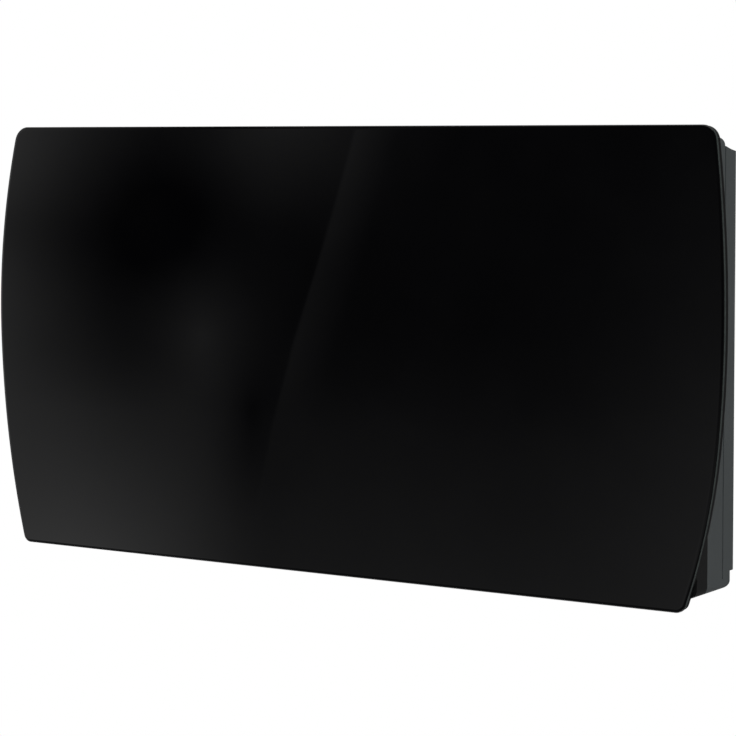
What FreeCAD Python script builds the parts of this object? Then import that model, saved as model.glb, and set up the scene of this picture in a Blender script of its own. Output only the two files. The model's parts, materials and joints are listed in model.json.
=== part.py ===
"""Glass panel heater: a bowed glass front on a shallow casing that hangs on a wall bracket.

Millimetres. The origin is the middle of the bracket's screw holes, on the wall.
+X runs to the right as seen from the room, +Z runs up, and the glass faces -Y.
"""
import FreeCAD, Part
import math
import os

from FreeCAD import Vector

X_AXIS = Vector(1, 0, 0)
Y_AXIS = Vector(0, 1, 0)
Z_AXIS = Vector(0, 0, 1)
SIDES = (-1, 1)
CORNER_SHARE = 2 / math.sqrt(3)   # a hexagon's corners to its flats

# Clearances and cutting
OVERRUN = 5.0            # cuts run this far past the faces that they open
TOLERANCE = 0.01         # two places closer than this are one place
BOND_LINE = 0.2          # glue between bonded faces
FIT_GAP = 0.3            # room around a piece set into an opening
THREAD_GAP = 0.05        # between a screw and its hole
RUNNING_GAP = 0.08       # between a pin and its bearing

# Glass, heights measured up from its lower edge
GLASS_HEIGHT = 450.0
GLASS_WIDTH = 864.4      # at the waist, the widest line
GLASS_THICKNESS = 5.0
WAIST_RISE = 262.0
SIDE_RADIUS = 1110.0     # curve of the long sides
BLEND_RISE = 150.0       # below this the sides draw in faster
LOWER_SIDE_RADIUS = 720.0
GLASS_TOP_CORNER = 16.0
GLASS_LOW_CORNER = 10.0
SWEEP_RISE = 230.0       # above this the face sweeps back
SWEEP_BACK = 11.6
KICK_RISE = 150.0        # below this the face kicks forward
KICK_OUT = 5.0
GLASS_EDGE = 1.5         # polished bevel of the front edge

# Casing, its insets measured from the glass and its depths from the wall
CASE_SIDE_INSET = 28.6
CASE_TOP_DROP = 11.5
CASE_LOW_RISE = 12.3
CASE_CORNER = 8.0
FIXING_DROP = 120.0      # wall fixing below the upper edge of the glass
WALL_GAP = 12.0
REAR_DEPTH = 25.0
TIER_DEPTH = 10.0        # raised tier of the rear cover
MID_DEPTH = 34.0
FRONT_DEPTH = 30.0       # mid frame to the face of the glass

# Glass carrier and the studs that hold it to the front casing
CARRIER_INSET = 0.8
CARRIER_DEPTH = 6.0
CARRIER_WIDTH = 44.0
STUD_RADIUS = 2.5
STUD_REACH = 6.0
STUD_INSET = 14.0        # from the casing's top and bottom
STUD_X_SHARES = (-0.8, 0, 0.8)
NUT_WIDTH = 8.0
NUT_HEIGHT = 4.0
NUT_GAP = 0.5            # leaves room for the bow of the casing behind the nut

# Heating film on the back of the glass
FILM_SIDE_INSET = 54.0   # from the casing's side
FILM_MARGIN = 60.0       # from the upper and lower edges of the glass
FILM_CORNER = 10.0
FILM_THICKNESS = 0.6
BUSBAR_WIDTH = 12.0
BUSBAR_THICKNESS = 0.4
BUSBAR_INSET = 6.0
PAD_MARGIN = 6.0
PAD_THICKNESS = 4.0

# Front casing
FRONT_WALL = 1.2
LIP_WIDTH = 26.0
GROMMET_HOLE = 6.0
GROMMET_BORE = 3.0
GROMMET_LENGTH = 4.0
GROMMET_RISE = 30.0      # above the lower end of the film

# Mid frame
MID_WALL = 2.5
GROOVE_WIDTH = 2.0
GROOVE_DEPTH = 1.2
GROOVE_RISE = 11.0       # the groove starts this far above the casing's bottom
SHOULDER_LAP = 5.0       # shoulder behind the top of the rear cover
BOSS_WIDTH = 11.0

# Screws through rear cover and mid frame into the lip of the front casing
SCREW_RADIUS = 2.0
SCREW_HEAD_WIDTH = 7.0
SCREW_HEAD_HEIGHT = 2.8
SCREW_SLACK = 0.3
SCREW_TIP = 3.0
SCREW_INSET = 16.0       # from the casing's side
SCREW_LOW_RISE = 40.0
SCREW_TOP_DROP = 45.0
SCREWS_PER_SIDE = 3

# Rear cover
REAR_WALL = 2.0
STEP_RISE = 17.0
REAR_TOP_DROP = 8.3
REAR_TOP_SLOPE = 5.0
REAR_TOP_SAG = 0.6
REAR_LOW_RADIUS = 7.0
REAR_BACK_RADIUS = 4.0
LEAST_RADIUS = 0.5       # of the corners inside the moulding
PILLAR_WIDTH = 8.0
PILLAR_HEIGHT = 6.0

# Small self-tapping screws into the rear cover's pillars
TAPPER_RADIUS = 1.5
TAPPER_HEAD_WIDTH = 5.5
TAPPER_HEAD_HEIGHT = 2.0
TAPPER_LENGTH = 6.0

# Grilles in the top and bottom of the mid frame
GRILLE_WIDTH = 26.0
GRILLE_SIDE_INSET = 30.0
GRILLE_CONTROL_GAP = 31.0
GRILLE_FLANGE = 2.0
GRILLE_FLANGE_THICKNESS = 1.5
GRILLE_DEPTH = 9.0
GRILLE_RIM = 1.8
BLADE_COUNT = 4
BLADE_THICKNESS = 1.5
OUTLET_BLADE_TILT = 30.0
INLET_BLADE_TILT = 0.0
RIB_COUNT = 7
RIB_THICKNESS = 1.6

# Vent in the back
PLATE_THICKNESS = 1.5
VENT_LENGTH = 480.0
VENT_HEIGHT = 36.0
VENT_RISE = 12.0         # above the step
VENT_LAP = 8.0
VENT_CORNER = 4.0
VENT_SLOT_COUNT = 28
VENT_SLOT_WIDTH = 6.0
VENT_SLOT_MARGIN = 4.0
RIVET_RADIUS = 1.6
RIVET_HEAD_RADIUS = 3.2
RIVET_HEAD_HEIGHT = 1.2

# Finned elements
ELEMENT_RISE = 90.0      # lower element above the casing's bottom
ELEMENT_PITCH = 60.0
ELEMENT_FORWARD = 14.0   # in front of the seam
TUBE_RADIUS = 7.0
ARM_REACH = 24.0
ARM_THICKNESS = 2.4
ARM_COUNT = 4
FIN_LENGTH = 12.0
FIN_THICKNESS = 1.4
FIN_SHARES = (0.5, 0.75, 0.97)
ROD_RADIUS = 4.0
ROD_REACH = 26.0
TERMINAL_RADIUS = 1.6
TERMINAL_REACH = 9.0
BUSH_NECK = 7.0
BUSH_WIDTH = 20.0
BUSH_FLANGE_LENGTH = 5.0

# Element brackets and reflector
BRACKET_SHEET = 1.5
BRACKET_MARGIN = 25.0    # above and below the element axes
BRACKET_NOSE = 11.0      # in front of the element axes
BRACKET_FOOT = 20.0
FOOT_SCREW_MARGIN = 12.0
REFLECTOR_SHEET = 0.8
REFLECTOR_STANDOFF = 3.0
REFLECTOR_FLANGE = 12.0
REFLECTOR_RISE = 45.0    # above the bracket tops
REFLECTOR_MARGIN = 6.0   # flange ends inside the bracket ends

# Thermal cut-out on the reflector
CUTOUT_RADIUS = 8.0
CUTOUT_HEIGHT = 8.0
CUTOUT_EAR_LENGTH = 30.0
CUTOUT_EAR_WIDTH = 10.0
CUTOUT_EAR_THICKNESS = 1.0
CUTOUT_RISE = 25.0       # above the bracket tops
CUTOUT_SIDE = 96.0       # from the right bracket
BLADE_WIDTH = 6.3
BLADE_SHEET = 0.8
BLADE_REACH = 8.0

# Room sensor by the inlet
SENSOR_RADIUS = 2.5
SENSOR_LENGTH = 22.0
SADDLE_LENGTH = 8.0
SADDLE_WIDTH = 9.0
SADDLE_HEIGHT = 5.0
SENSOR_GAP = 14.0        # from the end of the inlet grille

# Power board
BOARD_WIDTH = 74.0
BOARD_HEIGHT = 128.0
BOARD_THICKNESS = 1.6
BOARD_SIDE_INSET = 30.0
BOARD_FOOT_GAP = 0.9     # from the foot of the element bracket
BOARD_RISE = 165.0       # above the casing's bottom
BOARD_HOLE_MARGIN = 5.0
RELAY_SIZE = (19.0, 16.0, 15.0)
RELAY_X_SHARE = 0.5
RELAY_Z_SHARES = (0.17, 0.36)
TRANSFORMER_SIZE = (32.0, 18.0, 28.0)
TRANSFORMER_Z_SHARE = 0.6
CAPACITOR_SIZE = (26.0, 16.0, 10.0)
CAPACITOR_Z_SHARE = 0.84

# Terminal block and cable gland
BLOCK_SIZE = (46.0, 16.0, 18.0)
BLOCK_RISE = 52.0        # middle above the casing's bottom
BLOCK_EAR = 6.0
BLOCK_WAYS = 3
BLOCK_WELL_RADIUS = 3.0
BLOCK_WELL_DEPTH = 9.0
BLOCK_EAR_HEIGHT = 4.0
GLAND_SIDE_INSET = 60.0
GLAND_BORE = 4.2
GLAND_BODY = 8.0
GLAND_FLANGE_WIDTH = 22.0
GLAND_FLANGE_HEIGHT = 5.0
GLAND_THREAD_LENGTH = 9.0
GLAND_NUT_WIDTH = 21.0
GLAND_NUT_HEIGHT = 5.0

# Control unit in the top
CONTROL_LENGTH = 146.0
CONTROL_SIDE_INSET = 37.0
FASCIA_LAP = 3.0
FASCIA_THICKNESS = 2.0
FASCIA_CORNER = 4.0
TRAY_DEPTH = 16.0
TRAY_WALL = 1.5
TRAY_POST = 5.0
CONTROL_BOARD_GAP = 1.0
BUTTON_LENGTH = 13.0     # along the fascia
BUTTON_WIDTH = 11.0
BUTTON_CORNER = 1.5
BUTTON_STAND = 1.5       # above the fascia
BUTTON_BEVEL = 0.5
BUTTON_FLANGE = 1.3      # wider than the button all round
BUTTON_FLANGE_HEIGHT = 1.2
BUTTON_STEM = 5.0
BUTTON_SEAT_GAP = 0.2
BUTTON_TRAVEL = 0.8
BUTTON_PITCH = 18.0
BUTTON_FIRST_SHARE = 0.54
BUTTON_NAMES = ("power", "mode", "minus", "plus")
TACT_SIZE = 6.0
TACT_HEIGHT = 3.5
TACT_PLUNGER_RADIUS = 1.75
TACT_PLUNGER_HEIGHT = 0.9
LENS_LENGTH = 46.0
LENS_WIDTH = 14.0
LENS_THICKNESS = 1.4
LENS_LEDGE = 2.0
LENS_CENTRE_SHARE = 0.24
LENS_GAP = 0.15
DISPLAY_HEIGHT = 5.0

# Mains rocker in the left side
ROCKER_RISE = 95.0       # above the casing's bottom
ROCKER_RADIUS = 12.0
ROCKER_WIDTH = 15.8
ROCKER_BACK = 5.0
ROCKER_END_STAND = 5.0   # outer face above the pivot, at the ends
ROCKER_DISH = 1.5        # outer face lower by this in the middle
ROCKER_TILT = 8.0
PIVOT_RADIUS = 1.5
PIVOT_DEPTH = 3.2        # behind the bezel's face
BEZEL_LENGTH = 32.0
BEZEL_WIDTH = 25.0
BEZEL_THICKNESS = 1.6
BEZEL_CORNER = 2.0
SWITCH_WALL = 2.0
SWITCH_DEPTH = 20.0
SWITCH_FLOOR = 11.0      # cavity floor behind the bezel's face

# Wall bracket with hooks, and what hangs on it
BRACKET_PLATE = 2.0
BRACKET_CORNER = 6.0
BRACKET_LIP = 6.0
FIXING_SPACING_X = 400.0
FIXING_SPACING_Z = 40.0
FIXING_RADIUS = 3.0
FIXING_END = 30.0        # rail past the screw holes, along it and across it
FIXING_MARGIN = 15.0
HOOK_SPACING = 300.0
HOOK_WIDTH = 40.0
HOOK_RISE = 12.0
HOOK_GAP = 1.0
HOOK_CORNER = 3.0
LIFT = 14.0
LIFT_SLACK = 3.0
SLOT_SIDE_GAP = 2.0
HANGER_WIDTH = 84.0
HANGER_HEIGHT = 46.0
HANGER_RIVET_INSET = 8.0
HOOK_SEAT_GAP = 0.1

# Rubber buffers that keep the lower edge off the wall
BUFFER_RADIUS = 11.0
BUFFER_TIP_RADIUS = 9.0
BUFFER_NECK = 4.0
BUFFER_BULB = 6.0
BUFFER_BULB_LENGTH = 4.0
BUFFER_VENT_GAP = 42.0    # from the vent plate's end to the buffer's middle
BUFFER_RISE = 38.0       # above the casing's bottom

# Leads inside the casing, each a radius and a route of places chosen by hand
LEAD_RADIUS = 1.4
LEAD_HOLE = 4.0
LEAD_GAP = 0.2           # between a lead's end and what it is joined to

# Heights that follow
Z_GLASS_TOP = FIXING_DROP
Z_GLASS_LOW = Z_GLASS_TOP - GLASS_HEIGHT
Z_WAIST = Z_GLASS_LOW + WAIST_RISE
Z_BLEND = Z_GLASS_LOW + BLEND_RISE
Z_SWEEP = Z_GLASS_LOW + SWEEP_RISE
Z_KICK = Z_GLASS_LOW + KICK_RISE
Z_CASE_LOW = Z_GLASS_LOW + CASE_LOW_RISE
Z_CASE_TOP = Z_GLASS_TOP - CASE_TOP_DROP
Z_STEP = Z_CASE_LOW + STEP_RISE
Z_REAR_TOP = Z_CASE_TOP - REAR_TOP_DROP

# Half widths and depths that follow
CASE_HALF = GLASS_WIDTH / 2 - CASE_SIDE_INSET
Y_BACK = -WALL_GAP
Y_STEP = Y_BACK - TIER_DEPTH
Y_SEAM = Y_BACK - REAR_DEPTH
Y_MID = Y_SEAM - MID_DEPTH
Y_GLASS = Y_MID - FRONT_DEPTH
Y_MID_CENTRE = (Y_MID + Y_SEAM) / 2
Y_REAR_INNER = Y_BACK - REAR_WALL
Y_PILLAR = Y_REAR_INNER - PILLAR_HEIGHT
FOOT_END = CASE_HALF - BOARD_SIDE_INSET - BOARD_WIDTH - BOARD_FOOT_GAP
ELEMENT_LENGTH = 2 * (FOOT_END - BRACKET_FOOT - BRACKET_SHEET - BUSH_FLANGE_LENGTH - 2 * FIT_GAP)
BRACKET_LENGTH = FIXING_SPACING_X + 2 * FIXING_END
BRACKET_HEIGHT = FIXING_SPACING_Z + 2 * FIXING_MARGIN

# Layers behind the face of the glass
GLASS_BACK = GLASS_THICKNESS
CARRIER_FRONT = GLASS_BACK + BOND_LINE
CARRIER_BACK = CARRIER_FRONT + CARRIER_DEPTH
FILM_FRONT = GLASS_BACK + BOND_LINE
FILM_BACK = FILM_FRONT + FILM_THICKNESS
BUSBAR_FRONT = FILM_BACK + BOND_LINE / 2
BUSBAR_BACK = BUSBAR_FRONT + BUSBAR_THICKNESS
PAD_FRONT = BUSBAR_BACK + BOND_LINE / 2
CASING_FRONT = CARRIER_BACK + BOND_LINE
CASING_BACK = CASING_FRONT + FRONT_WALL


def block(x_span, y_span, z_span):
    """Box between two places along each axis."""
    low = Vector(min(x_span), min(y_span), min(z_span))
    high = Vector(max(x_span), max(y_span), max(z_span))
    size = high - low
    return Part.makeBox(size.x, size.y, size.z, low)


def span(middle, size):
    """The two ends of a size about its middle."""
    return (middle - size / 2, middle + size / 2)


def fuse(first, *others):
    """One solid from pieces that touch or overlap."""
    return first.multiFuse(list(others)).removeSplitter()


def edges_along(solid, axis):
    """Straight edges of a solid that run along an axis."""
    return [edge for edge in solid.Edges
            if edge.Curve.TypeId == "Part::GeomLine"
            and edge.tangentAt(edge.FirstParameter).cross(axis).Length < TOLERANCE]


def rounded_block(x_span, y_span, z_span, radius, axis):
    """Box whose four edges along one axis are rounded."""
    solid = block(x_span, y_span, z_span)
    return solid.makeFillet(radius, edges_along(solid, axis))


def clipped_block(x_span, y_span, z_span, clip, axis):
    """Box whose four edges along one axis are cut off at 45 degrees."""
    solid = block(x_span, y_span, z_span)
    return solid.makeChamfer(clip, edges_along(solid, axis))


def hexagon(width, height, base, axis):
    """Hexagonal prism measured across its flats."""
    corner = width / 2 * CORNER_SHARE
    turns = [math.radians(60 * step) for step in range(7)]
    points = [Vector(corner * math.cos(turn), corner * math.sin(turn), 0) for turn in turns]
    solid = Part.Face(Part.makePolygon(points)).extrude(Z_AXIS * height)
    solid.Placement = FreeCAD.Placement(base, FreeCAD.Rotation(Z_AXIS, axis))
    return solid


def six_sided(radius, length, base, axis):
    """A small stud, shank or hole, drawn with six sides, from its base along an axis."""
    return hexagon(2 * radius, length, base, axis)


def bow_radius(rise, offset):
    """Radius of an arc that leaves the vertical and is offset by this much after a rise."""
    return (rise ** 2 + offset ** 2) / (2 * offset)


def bow_arc(y, z_start, z_end, offset):
    """Arc in the side view that leaves the vertical at z_start and ends offset at z_end."""
    radius = bow_radius(z_end - z_start, offset)
    half = math.asin((z_end - z_start) / radius) / 2
    middle = Vector(0, y + radius * (1 - math.cos(half)), z_start + radius * math.sin(half))
    return Part.Arc(Vector(0, y, z_start), middle, Vector(0, y + offset, z_end)).toShape()


def bow_y(z):
    """Depth of the face of the glass at a height."""
    if z > Z_SWEEP:
        radius = bow_radius(Z_GLASS_TOP - Z_SWEEP, SWEEP_BACK)
        return Y_GLASS + radius - math.sqrt(radius ** 2 - (z - Z_SWEEP) ** 2)
    if z < Z_KICK:
        radius = bow_radius(Z_KICK - Z_GLASS_LOW, KICK_OUT)
        return Y_GLASS - radius + math.sqrt(radius ** 2 - (Z_KICK - z) ** 2)
    return Y_GLASS


def bow_edges(shift):
    """Side view of the face of the glass moved back by a shift: kick, straight and sweep."""
    y = Y_GLASS + shift
    straight = Part.makeLine(Vector(0, y, Z_KICK), Vector(0, y, Z_SWEEP))
    return [bow_arc(y, Z_KICK, Z_GLASS_LOW, -KICK_OUT), straight,
            bow_arc(y, Z_SWEEP, Z_GLASS_TOP, SWEEP_BACK)]


def bowed_slab(front, back, half_width):
    """Slab between two depths behind the face of the glass that follows its bow."""
    low = [Vector(0, bow_y(Z_GLASS_LOW) + shift, Z_GLASS_LOW) for shift in (front, back)]
    top = [Vector(0, bow_y(Z_GLASS_TOP) + shift, Z_GLASS_TOP) for shift in (front, back)]
    edges = bow_edges(front) + bow_edges(back) + [Part.makeLine(*low), Part.makeLine(*top)]
    face = Part.Face(Part.Wire(Part.__sortEdges__(edges)))
    face.translate(X_AXIS * -half_width)
    return face.extrude(X_AXIS * 2 * half_width)


def bowed_block_to(front, y_rear, half_width):
    """Block from a depth behind the face of the glass to an upright plane."""
    low = [Vector(0, bow_y(Z_GLASS_LOW) + front, Z_GLASS_LOW), Vector(0, y_rear, Z_GLASS_LOW)]
    top = [Vector(0, bow_y(Z_GLASS_TOP) + front, Z_GLASS_TOP), Vector(0, y_rear, Z_GLASS_TOP)]
    edges = bow_edges(front) + [Part.makeLine(*low), Part.makeLine(*top)]
    edges.append(Part.makeLine(low[1], top[1]))
    face = Part.Face(Part.Wire(Part.__sortEdges__(edges)))
    face.translate(X_AXIS * -half_width)
    return face.extrude(X_AXIS * 2 * half_width)


def polar(centre, radius, angle, side):
    """Point of a side curve in the front view, mirrored for the left side."""
    return Vector(side * (centre.x + radius * math.cos(angle)), 0,
                  centre.z + radius * math.sin(angle))


def side_arcs(inset, side):
    """The two tangent arcs of one long side of the glass, with their lower and upper ends."""
    upper = Vector(GLASS_WIDTH / 2 - SIDE_RADIUS, 0, Z_WAIST)
    blend = -math.asin((Z_WAIST - Z_BLEND) / SIDE_RADIUS)
    step = SIDE_RADIUS - LOWER_SIDE_RADIUS
    lower = upper + Vector(step * math.cos(blend), 0, step * math.sin(blend))
    top = math.asin((Z_GLASS_TOP - inset - upper.z) / (SIDE_RADIUS - inset))
    low = math.asin((Z_GLASS_LOW + inset - lower.z) / (LOWER_SIDE_RADIUS - inset))
    arcs = []
    for centre, radius, start, end in ((lower, LOWER_SIDE_RADIUS - inset, low, blend),
                                       (upper, SIDE_RADIUS - inset, blend, top)):
        points = [polar(centre, radius, turn, side) for turn in (start, (start + end) / 2, end)]
        arcs.append(Part.Arc(*points).toShape())
    ends = (polar(lower, LOWER_SIDE_RADIUS - inset, low, side),
            polar(upper, SIDE_RADIUS - inset, top, side))
    return arcs, ends


def outline_prism(inset):
    """The barrel outline of the glass, drawn in by an inset, as a prism through the whole depth."""
    left, (left_low, left_top) = side_arcs(inset, -1)
    right, (right_low, right_top) = side_arcs(inset, 1)
    edges = left + right + [Part.makeLine(left_low, right_low), Part.makeLine(left_top, right_top)]
    face = Part.Face(Part.Wire(Part.__sortEdges__(edges)))
    depth = WALL_GAP + REAR_DEPTH + MID_DEPTH + FRONT_DEPTH + KICK_OUT + OVERRUN
    face.translate(Y_AXIS * -depth)
    solid = face.extrude(Y_AXIS * depth)
    for z, radius in ((left_low.z, GLASS_LOW_CORNER), (left_top.z, GLASS_TOP_CORNER)):
        corners = [edge for edge in edges_along(solid, Y_AXIS)
                   if abs(edge.CenterOfMass.z - z) < TOLERANCE]
        if radius > inset:
            solid = solid.makeFillet(radius - inset, corners)
    return solid


def case_prism(inset, y_span):
    """The casing's rounded outline, drawn in by an inset, between two depths."""
    return rounded_block(span(0, 2 * (CASE_HALF - inset)), y_span,
                         (Z_CASE_LOW + inset, Z_CASE_TOP - inset),
                         max(CASE_CORNER - inset, FRONT_WALL), Y_AXIS)


def glass_panel():
    """Bowed glass with a polished bevel round its front."""
    panel = bowed_slab(0, GLASS_BACK, GLASS_WIDTH).common(outline_prism(0)).Solids[0]
    front = []
    for edge in panel.Edges:
        point = edge.valueAt((edge.FirstParameter + edge.LastParameter) / 2)
        ends = [vertex.Point for vertex in edge.Vertexes]
        on_face = all(abs(p.y - bow_y(p.z)) < TOLERANCE for p in ends + [point])
        inner = abs(point.x) < TOLERANCE and abs(point.z - Z_GLASS_LOW) > TOLERANCE
        inner = inner and abs(point.z - Z_GLASS_TOP) > TOLERANCE
        if on_face and not inner:
            front.append(edge)
    return panel.makeChamfer(GLASS_EDGE, front)


def stud_places():
    """Where the carrier's studs pass through the front casing."""
    heights = (Z_CASE_LOW + STUD_INSET, Z_CASE_TOP - STUD_INSET)
    return [(share * CASE_HALF, z) for z in heights for share in STUD_X_SHARES]


def glass_carrier():
    """Frame bonded to the back of the glass, with threaded studs behind."""
    outer = outline_prism(CARRIER_INSET)
    opening = outline_prism(CARRIER_INSET + CARRIER_WIDTH)
    frame = bowed_slab(CARRIER_FRONT, CARRIER_BACK, GLASS_WIDTH).common(outer).cut(opening)
    studs = []
    for x, z in stud_places():
        start = bow_y(z) + (CARRIER_FRONT + CARRIER_BACK) / 2
        reach = CARRIER_DEPTH / 2 + BOND_LINE + FRONT_WALL + STUD_REACH
        studs.append(six_sided(STUD_RADIUS, reach, Vector(x, start, z), Y_AXIS))
    return fuse(frame.Solids[0], *studs)


def carrier_nuts():
    """Nuts on the studs, inside the front casing."""
    nuts = []
    for x, z in stud_places():
        base = Vector(x, bow_y(z) + CASING_BACK + NUT_GAP, z)
        hole = six_sided(STUD_RADIUS + THREAD_GAP, NUT_HEIGHT, base, Y_AXIS)
        nuts.append(hexagon(NUT_WIDTH, NUT_HEIGHT, base, Y_AXIS).cut(hole))
    return Part.makeCompound(nuts)


def film_prism(margin):
    """Outline of the heating film, grown by a margin."""
    half = CASE_HALF - FILM_SIDE_INSET + margin
    return clipped_block(span(0, 2 * half), (0, Y_GLASS - KICK_OUT - OVERRUN),
                         (Z_GLASS_LOW + FILM_MARGIN - margin, Z_GLASS_TOP - FILM_MARGIN + margin),
                         FILM_CORNER, Y_AXIS)


def heating_film():
    """Thin resistive sheet bonded to the back of the glass."""
    return bowed_slab(FILM_FRONT, FILM_BACK, GLASS_WIDTH).common(film_prism(0))


def busbar_x(side):
    """Middle of a busbar."""
    return side * (CASE_HALF - FILM_SIDE_INSET - BUSBAR_INSET - BUSBAR_WIDTH / 2)


def film_busbars():
    """Copper strip down each end of the film."""
    sheet = bowed_slab(BUSBAR_FRONT, BUSBAR_BACK, GLASS_WIDTH)
    z_span = (Z_GLASS_LOW + FILM_MARGIN + BUSBAR_INSET, Z_GLASS_TOP - FILM_MARGIN - BUSBAR_INSET)
    y_span = (0, Y_GLASS - KICK_OUT - OVERRUN)
    bars = [sheet.common(block(span(busbar_x(side), BUSBAR_WIDTH), y_span, z_span))
            for side in SIDES]
    return Part.makeCompound(bars)


def insulation_pad():
    """Felt behind the film, which sends its heat forward."""
    return bowed_slab(PAD_FRONT, PAD_FRONT + PAD_THICKNESS, GLASS_WIDTH).common(film_prism(PAD_MARGIN))


def grommet_places():
    """Where the film's leads pass into the front casing."""
    z = Z_GLASS_LOW + FILM_MARGIN + GROMMET_RISE
    return [Vector(busbar_x(side), bow_y(z) + CASING_FRONT, z) for side in SIDES]


def front_casing():
    """Black tray behind the glass: bowed front wall, side walls and a lip with screw holes."""
    outer = case_prism(0, (Y_MID, Y_GLASS - KICK_OUT))
    inner = case_prism(FRONT_WALL, (Y_MID - FRONT_WALL, Y_GLASS - KICK_OUT))
    shell = bowed_block_to(CASING_FRONT, Y_MID, GLASS_WIDTH).common(outer)
    hollow = bowed_block_to(CASING_BACK, Y_MID, GLASS_WIDTH).common(inner)
    cuts = [block(span(0, 2 * (CASE_HALF - LIP_WIDTH)), span(Y_MID, 2 * (FRONT_WALL + OVERRUN)),
                  (Z_CASE_LOW + LIP_WIDTH, Z_CASE_TOP - LIP_WIDTH))]
    for x, z in screw_places():
        base = Vector(x, Y_MID - FRONT_WALL - OVERRUN, z)
        cuts.append(six_sided(SCREW_RADIUS + THREAD_GAP, 2 * OVERRUN, base, Y_AXIS))
    for x, z in stud_places():
        base = Vector(x, bow_y(z) + CASING_FRONT - OVERRUN, z)
        cuts.append(six_sided(STUD_RADIUS + FIT_GAP, 2 * OVERRUN, base, Y_AXIS))
    for place in grommet_places():
        cuts.append(Part.makeCylinder(GROMMET_HOLE, 2 * OVERRUN, place - Y_AXIS * OVERRUN, Y_AXIS))
    return shell.cut(hollow).cut(cuts)


def film_grommets():
    """Rubber ring in each hole for the film's leads."""
    rings = []
    for place in grommet_places():
        bore = six_sided(GROMMET_BORE, GROMMET_LENGTH, place, Y_AXIS)
        rings.append(Part.makeCylinder(GROMMET_HOLE - THREAD_GAP, GROMMET_LENGTH, place, Y_AXIS).cut(bore))
    return Part.makeCompound(rings)


def screw_places():
    """Screws down both sides of the casing."""
    low = Z_CASE_LOW + SCREW_LOW_RISE
    pitch = (Z_CASE_TOP - SCREW_TOP_DROP - low) / (SCREWS_PER_SIDE - 1)
    return [(side * (CASE_HALF - SCREW_INSET), low + step * pitch)
            for side in SIDES for step in range(SCREWS_PER_SIDE)]


def grille_span():
    """Ends of the openings for the grilles."""
    return (-CASE_HALF + GRILLE_SIDE_INSET, control_span()[0] - GRILLE_CONTROL_GAP)


def control_span():
    """Ends of the opening for the control unit."""
    end = CASE_HALF - CONTROL_SIDE_INSET
    return (end - CONTROL_LENGTH, end)


def gland_base():
    """Where the cable gland's axis meets the casing's bottom."""
    return Vector(CASE_HALF - GLAND_SIDE_INSET, Y_MID_CENTRE, Z_CASE_LOW)


def switch_middle():
    """Middle of the mains switch on the outside of the left wall."""
    return Vector(-CASE_HALF, Y_MID_CENTRE, Z_CASE_LOW + ROCKER_RISE)


def switch_body_size():
    """Width along Y and length along Z of the switch behind its bezel."""
    width = ROCKER_WIDTH + 2 * FIT_GAP + 2 * SWITCH_WALL
    length = 2 * (ROCKER_RADIUS + FIT_GAP + SWITCH_WALL)
    return width, length


def mid_frame():
    """Grey frame with screw bosses, a groove along the seam, openings for what it carries, and a
    slot from the seam for the cable gland."""
    wall = case_prism(0, (Y_MID, Y_SEAM))
    wall = wall.cut(case_prism(MID_WALL, (Y_MID - OVERRUN, Y_SEAM + OVERRUN)))
    shoulder = case_prism(0, (Y_SEAM - MID_WALL, Y_SEAM)).common(
        block(span(0, 2 * CASE_HALF), (Y_MID, Y_SEAM), (Z_REAR_TOP - SHOULDER_LAP, Z_CASE_TOP)))
    pieces = [shoulder]
    for x, z in screw_places():
        inner = math.copysign(CASE_HALF - SCREW_INSET - BOSS_WIDTH / 2, x)
        outer = math.copysign(CASE_HALF - MID_WALL / 2, x)
        pieces.append(block((inner, outer), (Y_MID, Y_SEAM), span(z, BOSS_WIDTH)))
    frame = fuse(wall, *pieces)

    past = (Y_SEAM - GROOVE_WIDTH, Y_SEAM + OVERRUN)
    groove = block(span(0, 2 * (CASE_HALF + OVERRUN)), past,
                   (Z_CASE_LOW + GROOVE_RISE, Z_CASE_TOP + OVERRUN))
    cuts = [groove.cut(case_prism(GROOVE_DEPTH, past))]
    for x, z in screw_places():
        base = Vector(x, Y_MID - OVERRUN, z)
        hole = SCREW_RADIUS + SCREW_SLACK
        cuts.append(six_sided(hole, MID_DEPTH + 2 * OVERRUN, base, Y_AXIS))
    y_span = span(Y_MID_CENTRE, GRILLE_WIDTH)
    for z in (Z_CASE_LOW, Z_CASE_TOP):
        cuts.append(block(grille_span(), y_span, span(z, 2 * OVERRUN)))
    cuts.append(block(control_span(), y_span, span(Z_CASE_TOP, 2 * OVERRUN)))
    base = gland_base()
    gland_half = GLAND_BODY + THREAD_GAP
    cuts.append(block(span(base.x, 2 * gland_half), (base.y - gland_half, Y_SEAM + OVERRUN),
                      span(base.z, 2 * OVERRUN)))
    width, length = switch_body_size()
    middle = switch_middle()
    cuts.append(block(span(middle.x, 2 * OVERRUN), span(middle.y, width + 2 * FIT_GAP),
                      span(middle.z, length + 2 * FIT_GAP)))
    return frame.cut(cuts)


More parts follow.
